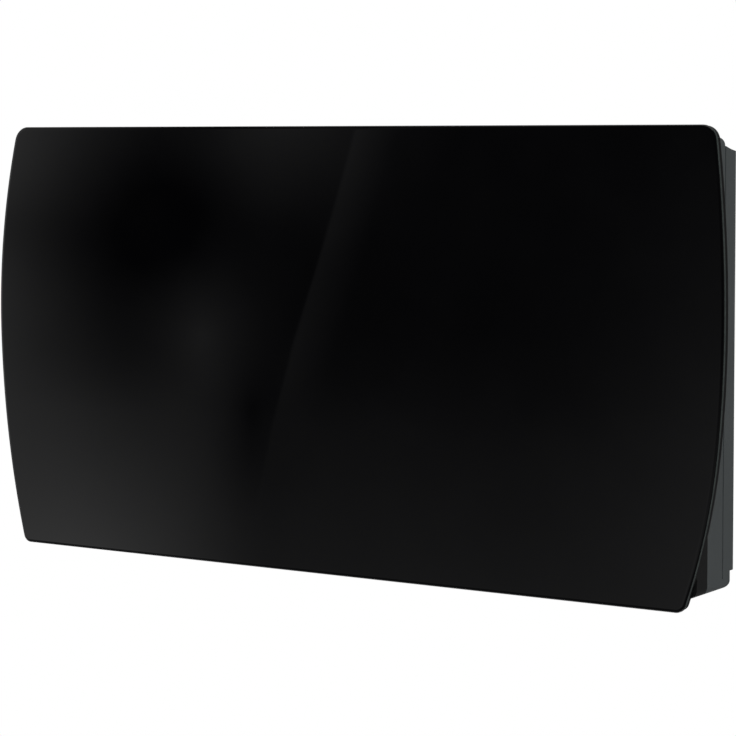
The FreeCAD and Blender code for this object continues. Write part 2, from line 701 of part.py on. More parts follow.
def grille(z_face, outward, tilt):
    """Louvred insert for an opening in the top or bottom of the mid frame."""
    x_low, x_high = grille_span()
    x_span = (x_low + FIT_GAP, x_high - FIT_GAP)
    y_span = span(Y_MID_CENTRE, GRILLE_WIDTH - 2 * FIT_GAP)
    inside = z_face - outward * GRILLE_DEPTH
    face = z_face + outward * GRILLE_FLANGE_THICKNESS
    rim = block(x_span, y_span, (inside, z_face))
    flange = block((x_low - GRILLE_FLANGE, x_high + GRILLE_FLANGE),
                   span(Y_MID_CENTRE, GRILLE_WIDTH + 2 * GRILLE_FLANGE), (z_face, face))
    throat = block((x_span[0] + GRILLE_RIM, x_span[1] - GRILLE_RIM),
                   span(Y_MID_CENTRE, GRILLE_WIDTH - 2 * FIT_GAP - 2 * GRILLE_RIM),
                   (inside - outward * OVERRUN, face + outward * OVERRUN))
    rim = fuse(rim, flange).cut(throat)

    height = GRILLE_DEPTH - GRILLE_RIM
    middle = z_face - outward * GRILLE_DEPTH / 2
    pitch = (GRILLE_WIDTH - 2 * FIT_GAP) / (BLADE_COUNT + 1)
    bars = []
    for step in range(BLADE_COUNT):
        y = y_span[0] + (step + 1) * pitch
        blade = block(x_span, span(y, BLADE_THICKNESS), span(middle, height))
        blade.rotate(Vector(0, y, middle), X_AXIS, tilt)
        bars.append(blade)
    rib_pitch = (x_span[1] - x_span[0]) / (RIB_COUNT + 1)
    for step in range(RIB_COUNT):
        x = x_span[0] + (step + 1) * rib_pitch
        bars.append(block(span(x, RIB_THICKNESS), y_span, (inside, z_face)))
    return fuse(rim, *bars)


def rear_solid(inset, y_front):
    """Outer form of the rear cover, or its hollow when drawn in by a wall."""
    y_back = Y_BACK - inset
    y_step = Y_STEP - inset
    low = Z_CASE_LOW + inset
    step = Z_STEP + inset
    front_top = Z_REAR_TOP - inset
    back_top = Z_REAR_TOP - REAR_TOP_SLOPE - inset
    corners = [Vector(0, y_front, front_top), Vector(0, y_front, low), Vector(0, y_step, low),
               Vector(0, y_step, step), Vector(0, y_back, step), Vector(0, y_back, back_top)]
    sag = Vector(0, (y_front + y_back) / 2, (front_top + back_top) / 2 - REAR_TOP_SAG)
    edges = [Part.makeLine(start, end) for start, end in zip(corners, corners[1:])]
    edges.append(Part.Arc(corners[-1], sag, corners[0]).toShape())
    face = Part.Face(Part.Wire(edges))
    half = CASE_HALF - inset
    face.translate(X_AXIS * -half)
    solid = face.extrude(X_AXIS * 2 * half)
    for corner, radius in ((corners[2], REAR_LOW_RADIUS), (corners[4], REAR_BACK_RADIUS),
                           (corners[5], REAR_BACK_RADIUS)):
        turned = [edge for edge in edges_along(solid, X_AXIS)
                  if math.hypot(edge.CenterOfMass.y - corner.y,
                                edge.CenterOfMass.z - corner.z) < TOLERANCE]
        solid = solid.makeFillet(max(radius - inset, LEAST_RADIUS), turned)
    upright = block(span(0, 2 * half), (y_front - OVERRUN, y_back), (low, front_top))
    bends = [edge for edge in edges_along(upright, Z_AXIS)
             if abs(edge.CenterOfMass.y - y_back) < TOLERANCE]
    upright = upright.makeFillet(max(REAR_BACK_RADIUS - inset, LEAST_RADIUS), bends)
    tall = block(span(0, 2 * half), (y_front - OVERRUN, y_back), (low, Z_CASE_TOP + OVERRUN))
    feet = [edge for edge in edges_along(tall, Y_AXIS) if abs(edge.CenterOfMass.z - low) < TOLERANCE]
    tall = tall.makeFillet(max(CASE_CORNER - inset, LEAST_RADIUS), feet)
    return solid.common(upright).common(tall)


def pillar_places():
    """Pillars inside the rear cover that take the small screws, by what they carry."""
    x_foot = bracket_x() + BRACKET_SHEET + BRACKET_FOOT / 2
    low, high = bracket_z()
    feet = [(side * x_foot, z) for side in SIDES
            for z in (low + FOOT_SCREW_MARGIN, high - FOOT_SCREW_MARGIN)]
    x_span, z_span = board_spans()
    board = [(x, z) for x in (x_span[0] + BOARD_HOLE_MARGIN, x_span[1] - BOARD_HOLE_MARGIN)
             for z in (z_span[0] + BOARD_HOLE_MARGIN, z_span[1] - BOARD_HOLE_MARGIN)]
    middle, reach = block_middle()
    terminals = [(middle.x + side * reach, middle.z) for side in SIDES]
    return {"feet": feet, "board": board, "terminals": terminals}


def vent_span():
    """Height of the vent opening in the back."""
    return (Z_STEP + VENT_RISE, Z_STEP + VENT_RISE + VENT_HEIGHT)


def hook_slot():
    """Height of the slots for the hooks: the upper edge rests on the hook."""
    top = BRACKET_HEIGHT / 2 + HOOK_SEAT_GAP
    return (top - BRACKET_PLATE - LIFT - LIFT_SLACK, top)


def rivet_places():
    """Two rivets above each hook slot, through the hanger plates."""
    z = hook_slot()[1] + HANGER_HEIGHT / 2 - HANGER_RIVET_INSET
    reach = HANGER_WIDTH / 2 - HANGER_RIVET_INSET
    return [(side * HOOK_SPACING / 2 + turn * reach, z) for side in SIDES for turn in SIDES]


def buffer_places():
    """Middle of each rubber buffer on the back of the rear cover."""
    reach = VENT_LENGTH / 2 + VENT_LAP + BUFFER_VENT_GAP
    return [Vector(side * reach, Y_BACK, Z_CASE_LOW + BUFFER_RISE) for side in SIDES]


def rear_cover():
    """Grey rear shell with a raised tier, screw posts, pillars, hook slots and a vent opening."""
    shell = rear_solid(0, Y_SEAM).cut(rear_solid(REAR_WALL, Y_SEAM - OVERRUN))
    added, cuts = [], []
    for x, z in screw_places():
        added.append(block(span(x, BOSS_WIDTH), (Y_SEAM, Y_REAR_INNER + REAR_WALL / 2), span(z, BOSS_WIDTH)))
        hole = Vector(x, Y_SEAM - OVERRUN, z)
        cuts.append(six_sided(SCREW_RADIUS + SCREW_SLACK, REAR_DEPTH + 2 * OVERRUN, hole, Y_AXIS))
    for places in pillar_places().values():
        for x, z in places:
            added.append(block(span(x, PILLAR_WIDTH), (Y_PILLAR, Y_REAR_INNER + REAR_WALL / 2),
                               span(z, PILLAR_WIDTH)))
            pilot = 2 * (TAPPER_RADIUS * CORNER_SHARE + THREAD_GAP)
            cuts.append(block(span(x, pilot), (Y_PILLAR - OVERRUN, Y_PILLAR + PILLAR_HEIGHT), span(z, pilot)))
    through = span(Y_BACK, 4 * REAR_WALL)
    cuts.append(clipped_block(span(0, VENT_LENGTH - VENT_LAP), through, vent_span(), VENT_CORNER, Y_AXIS))
    for side in SIDES:
        cuts.append(block(span(side * HOOK_SPACING / 2, HOOK_WIDTH + 2 * SLOT_SIDE_GAP), through,
                          hook_slot()))
    for x, z in rivet_places():
        base = Vector(x, Y_BACK - 2 * REAR_WALL, z)
        cuts.append(six_sided(RIVET_RADIUS + THREAD_GAP, 4 * REAR_WALL, base, Y_AXIS))
    for place in buffer_places():
        base = place - Y_AXIS * 2 * REAR_WALL
        cuts.append(six_sided(BUFFER_NECK + THREAD_GAP, 4 * REAR_WALL, base, Y_AXIS))
    cover = fuse(shell, *added)
    for cut in cuts:
        cover = cover.cut(cut)
    return cover


def hex_screw(seat, axis, radius, length, head_width, head_height):
    """Screw whose shank runs along an axis from its seat, with a hexagonal head behind."""
    shank = six_sided(radius, length, seat, axis)
    return fuse(shank, hexagon(head_width, head_height, seat - axis * head_height, axis))


def case_screws():
    """Long screws that hold rear cover, mid frame and front casing together."""
    length = REAR_DEPTH + MID_DEPTH + FRONT_WALL + SCREW_TIP
    return Part.makeCompound([hex_screw(Vector(x, Y_BACK, z), -Y_AXIS, SCREW_RADIUS, length,
                                        SCREW_HEAD_WIDTH, SCREW_HEAD_HEIGHT)
                              for x, z in screw_places()])


def riveted_plate(x_span, z_span, opening):
    """Steel plate on the inside of the rear cover, holed for its rivets."""
    plate = clipped_block(x_span, (Y_REAR_INNER - PLATE_THICKNESS, Y_REAR_INNER), z_span,
                          VENT_CORNER, Y_AXIS)
    cuts = [opening]
    for x, z in rivet_places():
        base = Vector(x, Y_REAR_INNER - 2 * PLATE_THICKNESS, z)
        cuts.append(six_sided(RIVET_RADIUS + THREAD_GAP, 4 * PLATE_THICKNESS, base, Y_AXIS))
    return plate.cut(cuts)


def rear_vent():
    """Slotted steel plate behind the vent opening."""
    z_low, z_high = vent_span()
    clear = VENT_LENGTH - VENT_LAP - 2 * VENT_SLOT_MARGIN
    pitch = clear / VENT_SLOT_COUNT
    slots = []
    for step in range(VENT_SLOT_COUNT):
        x = -clear / 2 + (step + 1 / 2) * pitch
        slots.append(block(span(x, VENT_SLOT_WIDTH), span(Y_REAR_INNER, 4 * PLATE_THICKNESS),
                           (z_low + VENT_SLOT_MARGIN, z_high - VENT_SLOT_MARGIN)))
    return riveted_plate(span(0, VENT_LENGTH + 2 * VENT_LAP), (z_low - VENT_LAP, z_high + VENT_LAP),
                         Part.makeCompound(slots))


def hanger_plates():
    """Steel plates that stiffen the rear cover around the hook slots."""
    plates = []
    for side in SIDES:
        x = side * HOOK_SPACING / 2
        slot = block(span(x, HOOK_WIDTH + 2 * SLOT_SIDE_GAP), span(Y_REAR_INNER, 4 * PLATE_THICKNESS),
                     hook_slot())
        plates.append(riveted_plate(span(x, HANGER_WIDTH), span(hook_slot()[1], HANGER_HEIGHT), slot))
    return Part.makeCompound(plates)


def rivet(base, axis, grip):
    """Rivet with its head at the far end of its grip."""
    shank = six_sided(RIVET_RADIUS, grip + RIVET_HEAD_HEIGHT, base, axis)
    head = six_sided(RIVET_HEAD_RADIUS, RIVET_HEAD_HEIGHT, base + axis * grip, axis)
    return fuse(shank, head)


def hanger_rivets():
    """Rivets through the hanger plates and the back of the rear cover."""
    grip = PLATE_THICKNESS + REAR_WALL
    return Part.makeCompound([rivet(Vector(x, Y_BACK - grip, z), Y_AXIS, grip)
                              for x, z in rivet_places()])


def element_axes():
    """Height of each element's axis, lower one first."""
    low = Z_CASE_LOW + ELEMENT_RISE
    return (low, low + ELEMENT_PITCH)


def element_y():
    """Depth of the element axes."""
    return Y_SEAM - ELEMENT_FORWARD


def finned_element(z):
    """Extruded aluminium element: a tube, arms in a cross, and fins across the arms."""
    y = element_y()
    start = -ELEMENT_LENGTH / 2
    x_span = span(0, ELEMENT_LENGTH)
    bars = []
    for arm in range(ARM_COUNT):
        turn = 360 / ARM_COUNT * (arm + 1 / 2)
        pieces = [block(x_span, span(y, ARM_THICKNESS), (z, z + ARM_REACH))]
        for share in FIN_SHARES:
            height = z + share * ARM_REACH
            pieces.append(block(x_span, span(y, FIN_LENGTH), span(height, FIN_THICKNESS)))
        for piece in pieces:
            piece.rotate(Vector(0, y, z), X_AXIS, turn)
        bars += pieces
    tube = Part.makeCylinder(TUBE_RADIUS, ELEMENT_LENGTH, Vector(start, y, z), X_AXIS)
    bore = six_sided(ROD_RADIUS + RUNNING_GAP, ELEMENT_LENGTH, Vector(start, y, z), X_AXIS)
    return fuse(tube, *bars).cut(bore)


def element_rod(z):
    """Sheathed heating rod with a terminal pin at each end."""
    y = element_y()
    length = ELEMENT_LENGTH + 2 * ROD_REACH
    rod = Part.makeCylinder(ROD_RADIUS, length, Vector(-length / 2, y, z), X_AXIS)
    full = length + 2 * TERMINAL_REACH
    pin = six_sided(TERMINAL_RADIUS, full, Vector(-full / 2, y, z), X_AXIS)
    return fuse(rod, pin)


def bracket_x():
    """Inner face of an element bracket."""
    return ELEMENT_LENGTH / 2 + FIT_GAP + BUSH_FLANGE_LENGTH + FIT_GAP


def bracket_z():
    """Lower and upper ends of the element brackets."""
    low, high = element_axes()
    return (low - BRACKET_MARGIN, high + BRACKET_MARGIN)


def element_bushes():
    """Ceramic bushes with square ends that carry the rods in the notches of the brackets."""
    bushes = []
    for side in SIDES:
        for z in element_axes():
            axis = X_AXIS * side
            base = Vector(side * (ELEMENT_LENGTH / 2 + FIT_GAP), element_y(), z)
            groove = BRACKET_SHEET + 2 * FIT_GAP
            length = 2 * BUSH_FLANGE_LENGTH + groove
            neck = block((base.x, base.x + side * length), span(base.y, 2 * BUSH_NECK),
                         span(z, 2 * BUSH_NECK))
            ends = []
            for place in (base.x, base.x + side * (BUSH_FLANGE_LENGTH + groove)):
                ends.append(block((place, place + side * BUSH_FLANGE_LENGTH), span(base.y, BUSH_WIDTH),
                                  span(z, BUSH_WIDTH)))
            bore = six_sided(ROD_RADIUS + RUNNING_GAP, length, base, axis)
            bushes.append(fuse(neck, *ends).cut(bore))
    return Part.makeCompound(bushes)


def element_bracket(side):
    """Folded steel bracket with notches for the bushes and a foot on the rear cover."""
    x = bracket_x()
    y_nose = element_y() - BRACKET_NOSE
    plate = block((x, x + BRACKET_SHEET), (y_nose, Y_PILLAR), bracket_z())
    foot = block((x, x + BRACKET_SHEET + BRACKET_FOOT), (Y_PILLAR - BRACKET_SHEET, Y_PILLAR), bracket_z())
    cuts = []
    notch = BUSH_NECK + FIT_GAP
    for z in element_axes():
        cuts.append(block((x - OVERRUN, x + BRACKET_SHEET + OVERRUN), (y_nose - OVERRUN, element_y() + notch),
                          span(z, 2 * notch)))
    for place_x, z in pillar_places()["feet"]:
        base = Vector(abs(place_x), Y_PILLAR - OVERRUN, z)
        cuts.append(six_sided(TAPPER_RADIUS + FIT_GAP, 2 * OVERRUN, base, Y_AXIS))
    for base in reflector_rivet_places():
        cuts.append(six_sided(RIVET_RADIUS + THREAD_GAP, 2 * OVERRUN, base - X_AXIS * OVERRUN,
                                      X_AXIS))
    bracket = fuse(plate, foot).cut(cuts)
    return bracket if side > 0 else bracket.mirror(Vector(), X_AXIS)


def reflector_y():
    """Front face of the reflector sheet."""
    return Y_PILLAR - BRACKET_SHEET - REFLECTOR_STANDOFF


def reflector_rivet_places():
    """Rivet through the reflector's right flange and the right bracket."""
    low, high = bracket_z()
    x = bracket_x() - REFLECTOR_SHEET - BOND_LINE
    y = reflector_y() - REFLECTOR_FLANGE / 2
    return [Vector(x, y, (low + high) / 2)]


def reflector():
    """Aluminium sheet behind the elements, riveted to both brackets by its end flanges."""
    low, high = bracket_z()
    x = bracket_x() - BOND_LINE
    y = reflector_y()
    sheet = block(span(0, 2 * x), (y, y + REFLECTOR_SHEET), (low, high + REFLECTOR_RISE))
    flanges = [block((side * x, side * (x - REFLECTOR_SHEET)), (y - REFLECTOR_FLANGE, y + REFLECTOR_SHEET),
                     (low + REFLECTOR_MARGIN, high - REFLECTOR_MARGIN)) for side in SIDES]
    cuts = [six_sided(RIVET_RADIUS + THREAD_GAP, 4 * CASE_HALF,
                              Vector(-2 * CASE_HALF, base.y, base.z), X_AXIS)
            for base in reflector_rivet_places()]
    return fuse(sheet, *flanges).cut(cuts)


def reflector_rivets():
    """Rivets that join the reflector to the brackets."""
    grip = REFLECTOR_SHEET + BOND_LINE + BRACKET_SHEET
    rivets = []
    for base in reflector_rivet_places():
        right = rivet(base, X_AXIS, grip)
        rivets += [right, right.mirror(Vector(), X_AXIS)]
    return Part.makeCompound(rivets)


def thermal_cutout():
    """Disc thermostat with ears and two blade terminals, on the front of the reflector."""
    seat = Vector(bracket_x() - CUTOUT_SIDE, reflector_y(), bracket_z()[1] + CUTOUT_RISE)
    ear = block(span(seat.x, CUTOUT_EAR_LENGTH), (seat.y - CUTOUT_EAR_THICKNESS, seat.y),
                span(seat.z, CUTOUT_EAR_WIDTH))
    body = Part.makeCylinder(CUTOUT_RADIUS, CUTOUT_HEIGHT, seat, -Y_AXIS)
    front = seat.y - CUTOUT_HEIGHT
    blades = [block(span(seat.x + side * CUTOUT_RADIUS / 2, BLADE_SHEET), (front - BLADE_REACH, seat.y),
                    span(seat.z, BLADE_WIDTH)) for side in SIDES]
    return fuse(ear, body, *blades)


def room_sensor():
    """Sensor bead on a saddle, in the incoming air beside the inlet grille."""
    x = grille_span()[1] + SENSOR_GAP
    floor = Z_CASE_LOW + MID_WALL
    saddle = block((x, x + SADDLE_LENGTH), span(Y_MID_CENTRE, SADDLE_WIDTH), (floor, floor + SADDLE_HEIGHT))
    bead = Vector(x - (SENSOR_LENGTH - SADDLE_LENGTH) / 2, Y_MID_CENTRE, floor + SADDLE_HEIGHT)
    probe = six_sided(SENSOR_RADIUS, SENSOR_LENGTH, bead, X_AXIS)
    return fuse(saddle, probe)


def board_spans():
    """Ends of the power board across and up."""
    x_high = CASE_HALF - BOARD_SIDE_INSET
    z_low = Z_CASE_LOW + BOARD_RISE
    return (x_high - BOARD_WIDTH, x_high), (z_low, z_low + BOARD_HEIGHT)


def power_board():
    """Circuit board screwed to four pillars of the rear cover."""
    x_span, z_span = board_spans()
    board = block(x_span, (Y_PILLAR - BOARD_THICKNESS, Y_PILLAR), z_span)
    holes = [six_sided(TAPPER_RADIUS + FIT_GAP, 2 * OVERRUN, Vector(x, Y_PILLAR - OVERRUN, z), Y_AXIS)
             for x, z in pillar_places()["board"]]
    return board.cut(holes)


def board_place(z_share):
    """Place on the front of the power board, at a share of its height."""
    x_span, z_span = board_spans()
    x = x_span[0] + RELAY_X_SHARE * BOARD_WIDTH
    return Vector(x, Y_PILLAR - BOARD_THICKNESS, z_span[0] + z_share * BOARD_HEIGHT)


def board_box(size, z_share):
    """Moulded component that stands on the power board."""
    width, depth, height = size
    place = board_place(z_share)
    return block(span(place.x, width), (place.y - depth, place.y), span(place.z, height))


def power_relays():
    """Relays that switch the film and the elements."""
    return Part.makeCompound([board_box(RELAY_SIZE, share) for share in RELAY_Z_SHARES])


def board_transformer():
    """Small transformer that feeds the controls."""
    return board_box(TRANSFORMER_SIZE, TRANSFORMER_Z_SHARE)


def board_capacitor():
    """Boxed film capacitor that keeps interference off the mains."""
    return board_box(CAPACITOR_SIZE, CAPACITOR_Z_SHARE)


def block_middle():
    """Middle of the terminal block's seat, and the reach from it to each screw."""
    middle = Vector(gland_base().x, Y_PILLAR, Z_CASE_LOW + BLOCK_RISE)
    return middle, BLOCK_SIZE[0] / 2 - BLOCK_EAR


def terminal_block():
    """Three-way terminal block with a screwed ear at each end."""
    width, depth, height = BLOCK_SIZE
    middle, reach = block_middle()
    ears = block(span(middle.x, width), (middle.y - BLOCK_EAR_HEIGHT, middle.y), span(middle.z, height))
    core_width = width - 4 * BLOCK_EAR
    core = block(span(middle.x, core_width), (middle.y - depth, middle.y), span(middle.z, height))
    cuts = []
    for way in range(BLOCK_WAYS):
        x = middle.x - core_width / 2 + (way + 1 / 2) * core_width / BLOCK_WAYS
        base = Vector(x, middle.y - depth, middle.z)
        cuts.append(six_sided(BLOCK_WELL_RADIUS, BLOCK_WELL_DEPTH, base, Y_AXIS))
    for side in SIDES:
        base = Vector(middle.x + side * reach, middle.y - BLOCK_EAR_HEIGHT - OVERRUN, middle.z)
        cuts.append(six_sided(TAPPER_RADIUS + FIT_GAP, BLOCK_EAR_HEIGHT + 2 * OVERRUN, base, Y_AXIS))
    return fuse(ears, core).cut(cuts)


def tapping_screws():
    """Small screws of the element brackets, the power board and the terminal block."""
    seats = {"feet": BRACKET_SHEET, "board": BOARD_THICKNESS, "terminals": BLOCK_EAR_HEIGHT}
    screws = []
    for name, places in pillar_places().items():
        for x, z in places:
            seat = Vector(x, Y_PILLAR - seats[name], z)
            screws.append(hex_screw(seat, Y_AXIS, TAPPER_RADIUS, TAPPER_LENGTH, TAPPER_HEAD_WIDTH,
                                    TAPPER_HEAD_HEIGHT))
    return Part.makeCompound(screws)


def cable_gland():
    """Cable gland with a hexagonal head under the casing and an open bore."""
    base = gland_base()
    head = hexagon(GLAND_FLANGE_WIDTH, GLAND_FLANGE_HEIGHT, base - Z_AXIS * GLAND_FLANGE_HEIGHT, Z_AXIS)
    body = Part.makeCylinder(GLAND_BODY, MID_WALL + GLAND_THREAD_LENGTH, base, Z_AXIS)
    bore = Part.makeCylinder(GLAND_BORE, MID_WALL + GLAND_THREAD_LENGTH + GLAND_FLANGE_HEIGHT,
                             base - Z_AXIS * GLAND_FLANGE_HEIGHT, Z_AXIS)
    return fuse(head, body).cut(bore)


def gland_nut():
    """Lock nut of the gland, inside the casing."""
    base = gland_base() + Z_AXIS * MID_WALL
    hole = Part.makeCylinder(GLAND_BODY + THREAD_GAP, GLAND_NUT_HEIGHT, base, Z_AXIS)
    return hexagon(GLAND_NUT_WIDTH, GLAND_NUT_HEIGHT, base, Z_AXIS).cut(hole)


def fascia_top():
    """Height of the fascia's upper face."""
    return Z_CASE_TOP + FASCIA_THICKNESS


def lens_middle():
    """Middle of the display across and in depth, at the fascia's upper face."""
    low, high = control_span()
    return Vector(low + LENS_CENTRE_SHARE * (high - low), Y_MID_CENTRE, fascia_top())


def button_middle(step):
    """Middle of a button at the fascia's upper face."""
    low, high = control_span()
    x = low + BUTTON_FIRST_SHARE * (high - low) + step * BUTTON_PITCH
    return Vector(x, Y_MID_CENTRE, fascia_top())


def control_fascia():
    """Plate over the control unit, recessed for the lens and holed for the buttons."""
    low, high = control_span()
    plate = rounded_block((low - FASCIA_LAP, high + FASCIA_LAP),
                          span(Y_MID_CENTRE, GRILLE_WIDTH + 2 * FASCIA_LAP),
                          (Z_CASE_TOP, fascia_top()), FASCIA_CORNER, Z_AXIS)
    middle = lens_middle()
    recess = block(span(middle.x, LENS_LENGTH + 2 * LENS_GAP), span(middle.y, LENS_WIDTH + 2 * LENS_GAP),
                   (middle.z - LENS_THICKNESS, middle.z + OVERRUN))
    window = block(span(middle.x, LENS_LENGTH - 2 * LENS_LEDGE), span(middle.y, LENS_WIDTH - 2 * LENS_LEDGE),
                   span(middle.z, 2 * OVERRUN))
    cuts = [recess, window]
    for step in range(len(BUTTON_NAMES)):
        cuts.append(button_block(step, FIT_GAP, span(fascia_top(), 2 * OVERRUN)))
    return plate.cut(cuts)


def display_lens():
    """Smoked window that lies flush in the fascia."""
    middle = lens_middle()
    return block(span(middle.x, LENS_LENGTH), span(middle.y, LENS_WIDTH),
                 (middle.z - LENS_THICKNESS, middle.z))


def tray_spans():
    """Outer ends of the control tray across and in depth."""
    low, high = control_span()
    return (low + FIT_GAP, high - FIT_GAP), span(Y_MID_CENTRE, GRILLE_WIDTH - 2 * FIT_GAP)


def control_board_z():
    """Underside and upper side of the control board."""
    low = Z_CASE_TOP - TRAY_DEPTH + TRAY_WALL + TRAY_POST
    return (low, low + BOARD_THICKNESS)


def control_tray():
    """Open tray under the fascia, with a post in each corner for the control board."""
    x_span, y_span = tray_spans()
    floor = Z_CASE_TOP - TRAY_DEPTH
    inner_x = (x_span[0] + TRAY_WALL, x_span[1] - TRAY_WALL)
    inner_y = (y_span[0] + TRAY_WALL, y_span[1] - TRAY_WALL)
    shell = block(x_span, y_span, (floor, Z_CASE_TOP))
    shell = shell.cut(block(inner_x, inner_y, (floor + TRAY_WALL, Z_CASE_TOP + OVERRUN)))
    posts = []
    for x in inner_x:
        for y in inner_y:
            inward_x = x + TRAY_POST if x == inner_x[0] else x - TRAY_POST
            inward_y = y + TRAY_POST if y == inner_y[0] else y - TRAY_POST
            posts.append(block((x, inward_x), (y, inward_y), (floor, control_board_z()[0])))
    hole = six_sided(LEAD_HOLE, 2 * OVERRUN, tray_hole() - Z_AXIS * OVERRUN, Z_AXIS)
    return fuse(shell, *posts).cut(hole)


def tray_hole():
    """Middle of the hole in the tray's floor for the lead of the controls."""
    low, high = control_span()
    return Vector((low + high) / 2, Y_MID_CENTRE, Z_CASE_TOP - TRAY_DEPTH)


def control_board():
    """Circuit board under the buttons and the display."""
    x_span, y_span = tray_spans()
    inset = TRAY_WALL + CONTROL_BOARD_GAP
    return block((x_span[0] + inset, x_span[1] - inset), (y_span[0] + inset, y_span[1] - inset),
                 control_board_z())


def display_module():
    """Display block on the control board, under the lens."""
    middle = lens_middle()
    top = control_board_z()[1]
    return block(span(middle.x, LENS_LENGTH - LENS_LEDGE), span(middle.y, LENS_WIDTH - LENS_LEDGE),
                 (top, top + DISPLAY_HEIGHT))


def tact_switches():
    """Push switches under the buttons."""
    top = control_board_z()[1]
    switches = []
    for step in range(len(BUTTON_NAMES)):
        middle = button_middle(step)
        body = block(span(middle.x, TACT_SIZE), span(middle.y, TACT_SIZE), (top, top + TACT_HEIGHT))
        plunger = six_sided(TACT_PLUNGER_RADIUS, TACT_HEIGHT + TACT_PLUNGER_HEIGHT,
                                    Vector(middle.x, middle.y, top), Z_AXIS)
        switches.append(fuse(body, plunger))
    return Part.makeCompound(switches)


def button_block(step, margin, z_span):
    """Outline of a button with clipped corners, grown by a margin, between two heights."""
    middle = button_middle(step)
    return clipped_block(span(middle.x, BUTTON_LENGTH + 2 * margin),
                         span(middle.y, BUTTON_WIDTH + 2 * margin), z_span, BUTTON_CORNER, Z_AXIS)


def button(step):
    """Bevelled button with a flange under the fascia and a stem over its switch."""
    middle = button_middle(step)
    top = middle.z + BUTTON_STAND
    flange_top = Z_CASE_TOP - BUTTON_SEAT_GAP
    flange_low = flange_top - BUTTON_FLANGE_HEIGHT
    switch_top = control_board_z()[1] + TACT_HEIGHT + TACT_PLUNGER_HEIGHT
    stem_low = switch_top + BUTTON_TRAVEL + BUTTON_SEAT_GAP
    cap = button_block(step, 0, (flange_low, top))
    rim = [edge for edge in cap.Edges if abs(edge.BoundBox.ZMin - top) < TOLERANCE]
    cap = cap.makeChamfer(BUTTON_BEVEL, rim)
    flange = block(span(middle.x, BUTTON_LENGTH + 2 * BUTTON_FLANGE),
                   span(middle.y, BUTTON_WIDTH + 2 * BUTTON_FLANGE), (flange_low, flange_top))
    stem = block(span(middle.x, BUTTON_STEM), span(middle.y, BUTTON_STEM), (stem_low, flange_low))
    return fuse(cap, flange, stem)


def pivot():
    """Middle of the rocker's pivot."""
    return switch_middle() + X_AXIS * (PIVOT_DEPTH - BEZEL_THICKNESS)


def rocker_housing():
    """Switch body with a bezel outside the left wall, bearings for the rocker and two terminals."""
    width, length = switch_body_size()
    middle = switch_middle()
    face = middle.x - BEZEL_THICKNESS
    bezel = rounded_block((face, middle.x), span(middle.y, BEZEL_WIDTH), span(middle.z, BEZEL_LENGTH),
                          BEZEL_CORNER, X_AXIS)
    body = block((middle.x, middle.x + SWITCH_DEPTH), span(middle.y, width), span(middle.z, length))
    back = middle.x + SWITCH_DEPTH
    blades = [block((back - SWITCH_WALL, back + BLADE_REACH), span(middle.y, BLADE_WIDTH),
                    span(middle.z + side * length / 4, BLADE_SHEET)) for side in SIDES]
    cavity = block((face - OVERRUN, face + SWITCH_FLOOR), span(middle.y, width - 2 * SWITCH_WALL),
                   span(middle.z, length - 2 * SWITCH_WALL))
    bearing = Part.makeCylinder(PIVOT_RADIUS + RUNNING_GAP, width, pivot() - Y_AXIS * width / 2, Y_AXIS)
    return fuse(bezel, body, *blades).cut([cavity, bearing])


def rocker():
    """Dished rocker on pivot pins, tipped to its first position."""
    centre = pivot()
    width, length = switch_body_size()
    drum = Part.makeCylinder(ROCKER_RADIUS, ROCKER_WIDTH, centre - Y_AXIS * ROCKER_WIDTH / 2, Y_AXIS)
    end = centre.x - ROCKER_END_STAND
    far = centre.x - ROCKER_RADIUS - OVERRUN
    z_low, z_high = span(centre.z, 2 * (ROCKER_RADIUS + OVERRUN))
    y = centre.y - ROCKER_WIDTH / 2 - OVERRUN
    dish = [Vector(far, y, z_low), Vector(end, y, z_low), Vector(end + ROCKER_DISH, y, centre.z),
            Vector(end, y, z_high), Vector(far, y, z_high), Vector(far, y, z_low)]
    above = Part.Face(Part.makePolygon(dish)).extrude(Y_AXIS * (ROCKER_WIDTH + 2 * OVERRUN))
    below = block((centre.x + ROCKER_BACK, centre.x + ROCKER_RADIUS + OVERRUN),
                  span(centre.y, ROCKER_WIDTH + 2 * OVERRUN), (z_low, z_high))
    paddle = drum.cut([above, below])
    pins = Part.makeCylinder(PIVOT_RADIUS, width, centre - Y_AXIS * width / 2, Y_AXIS)
    paddle = fuse(paddle, pins)
    paddle.rotate(centre, Y_AXIS, -ROCKER_TILT)
    return paddle


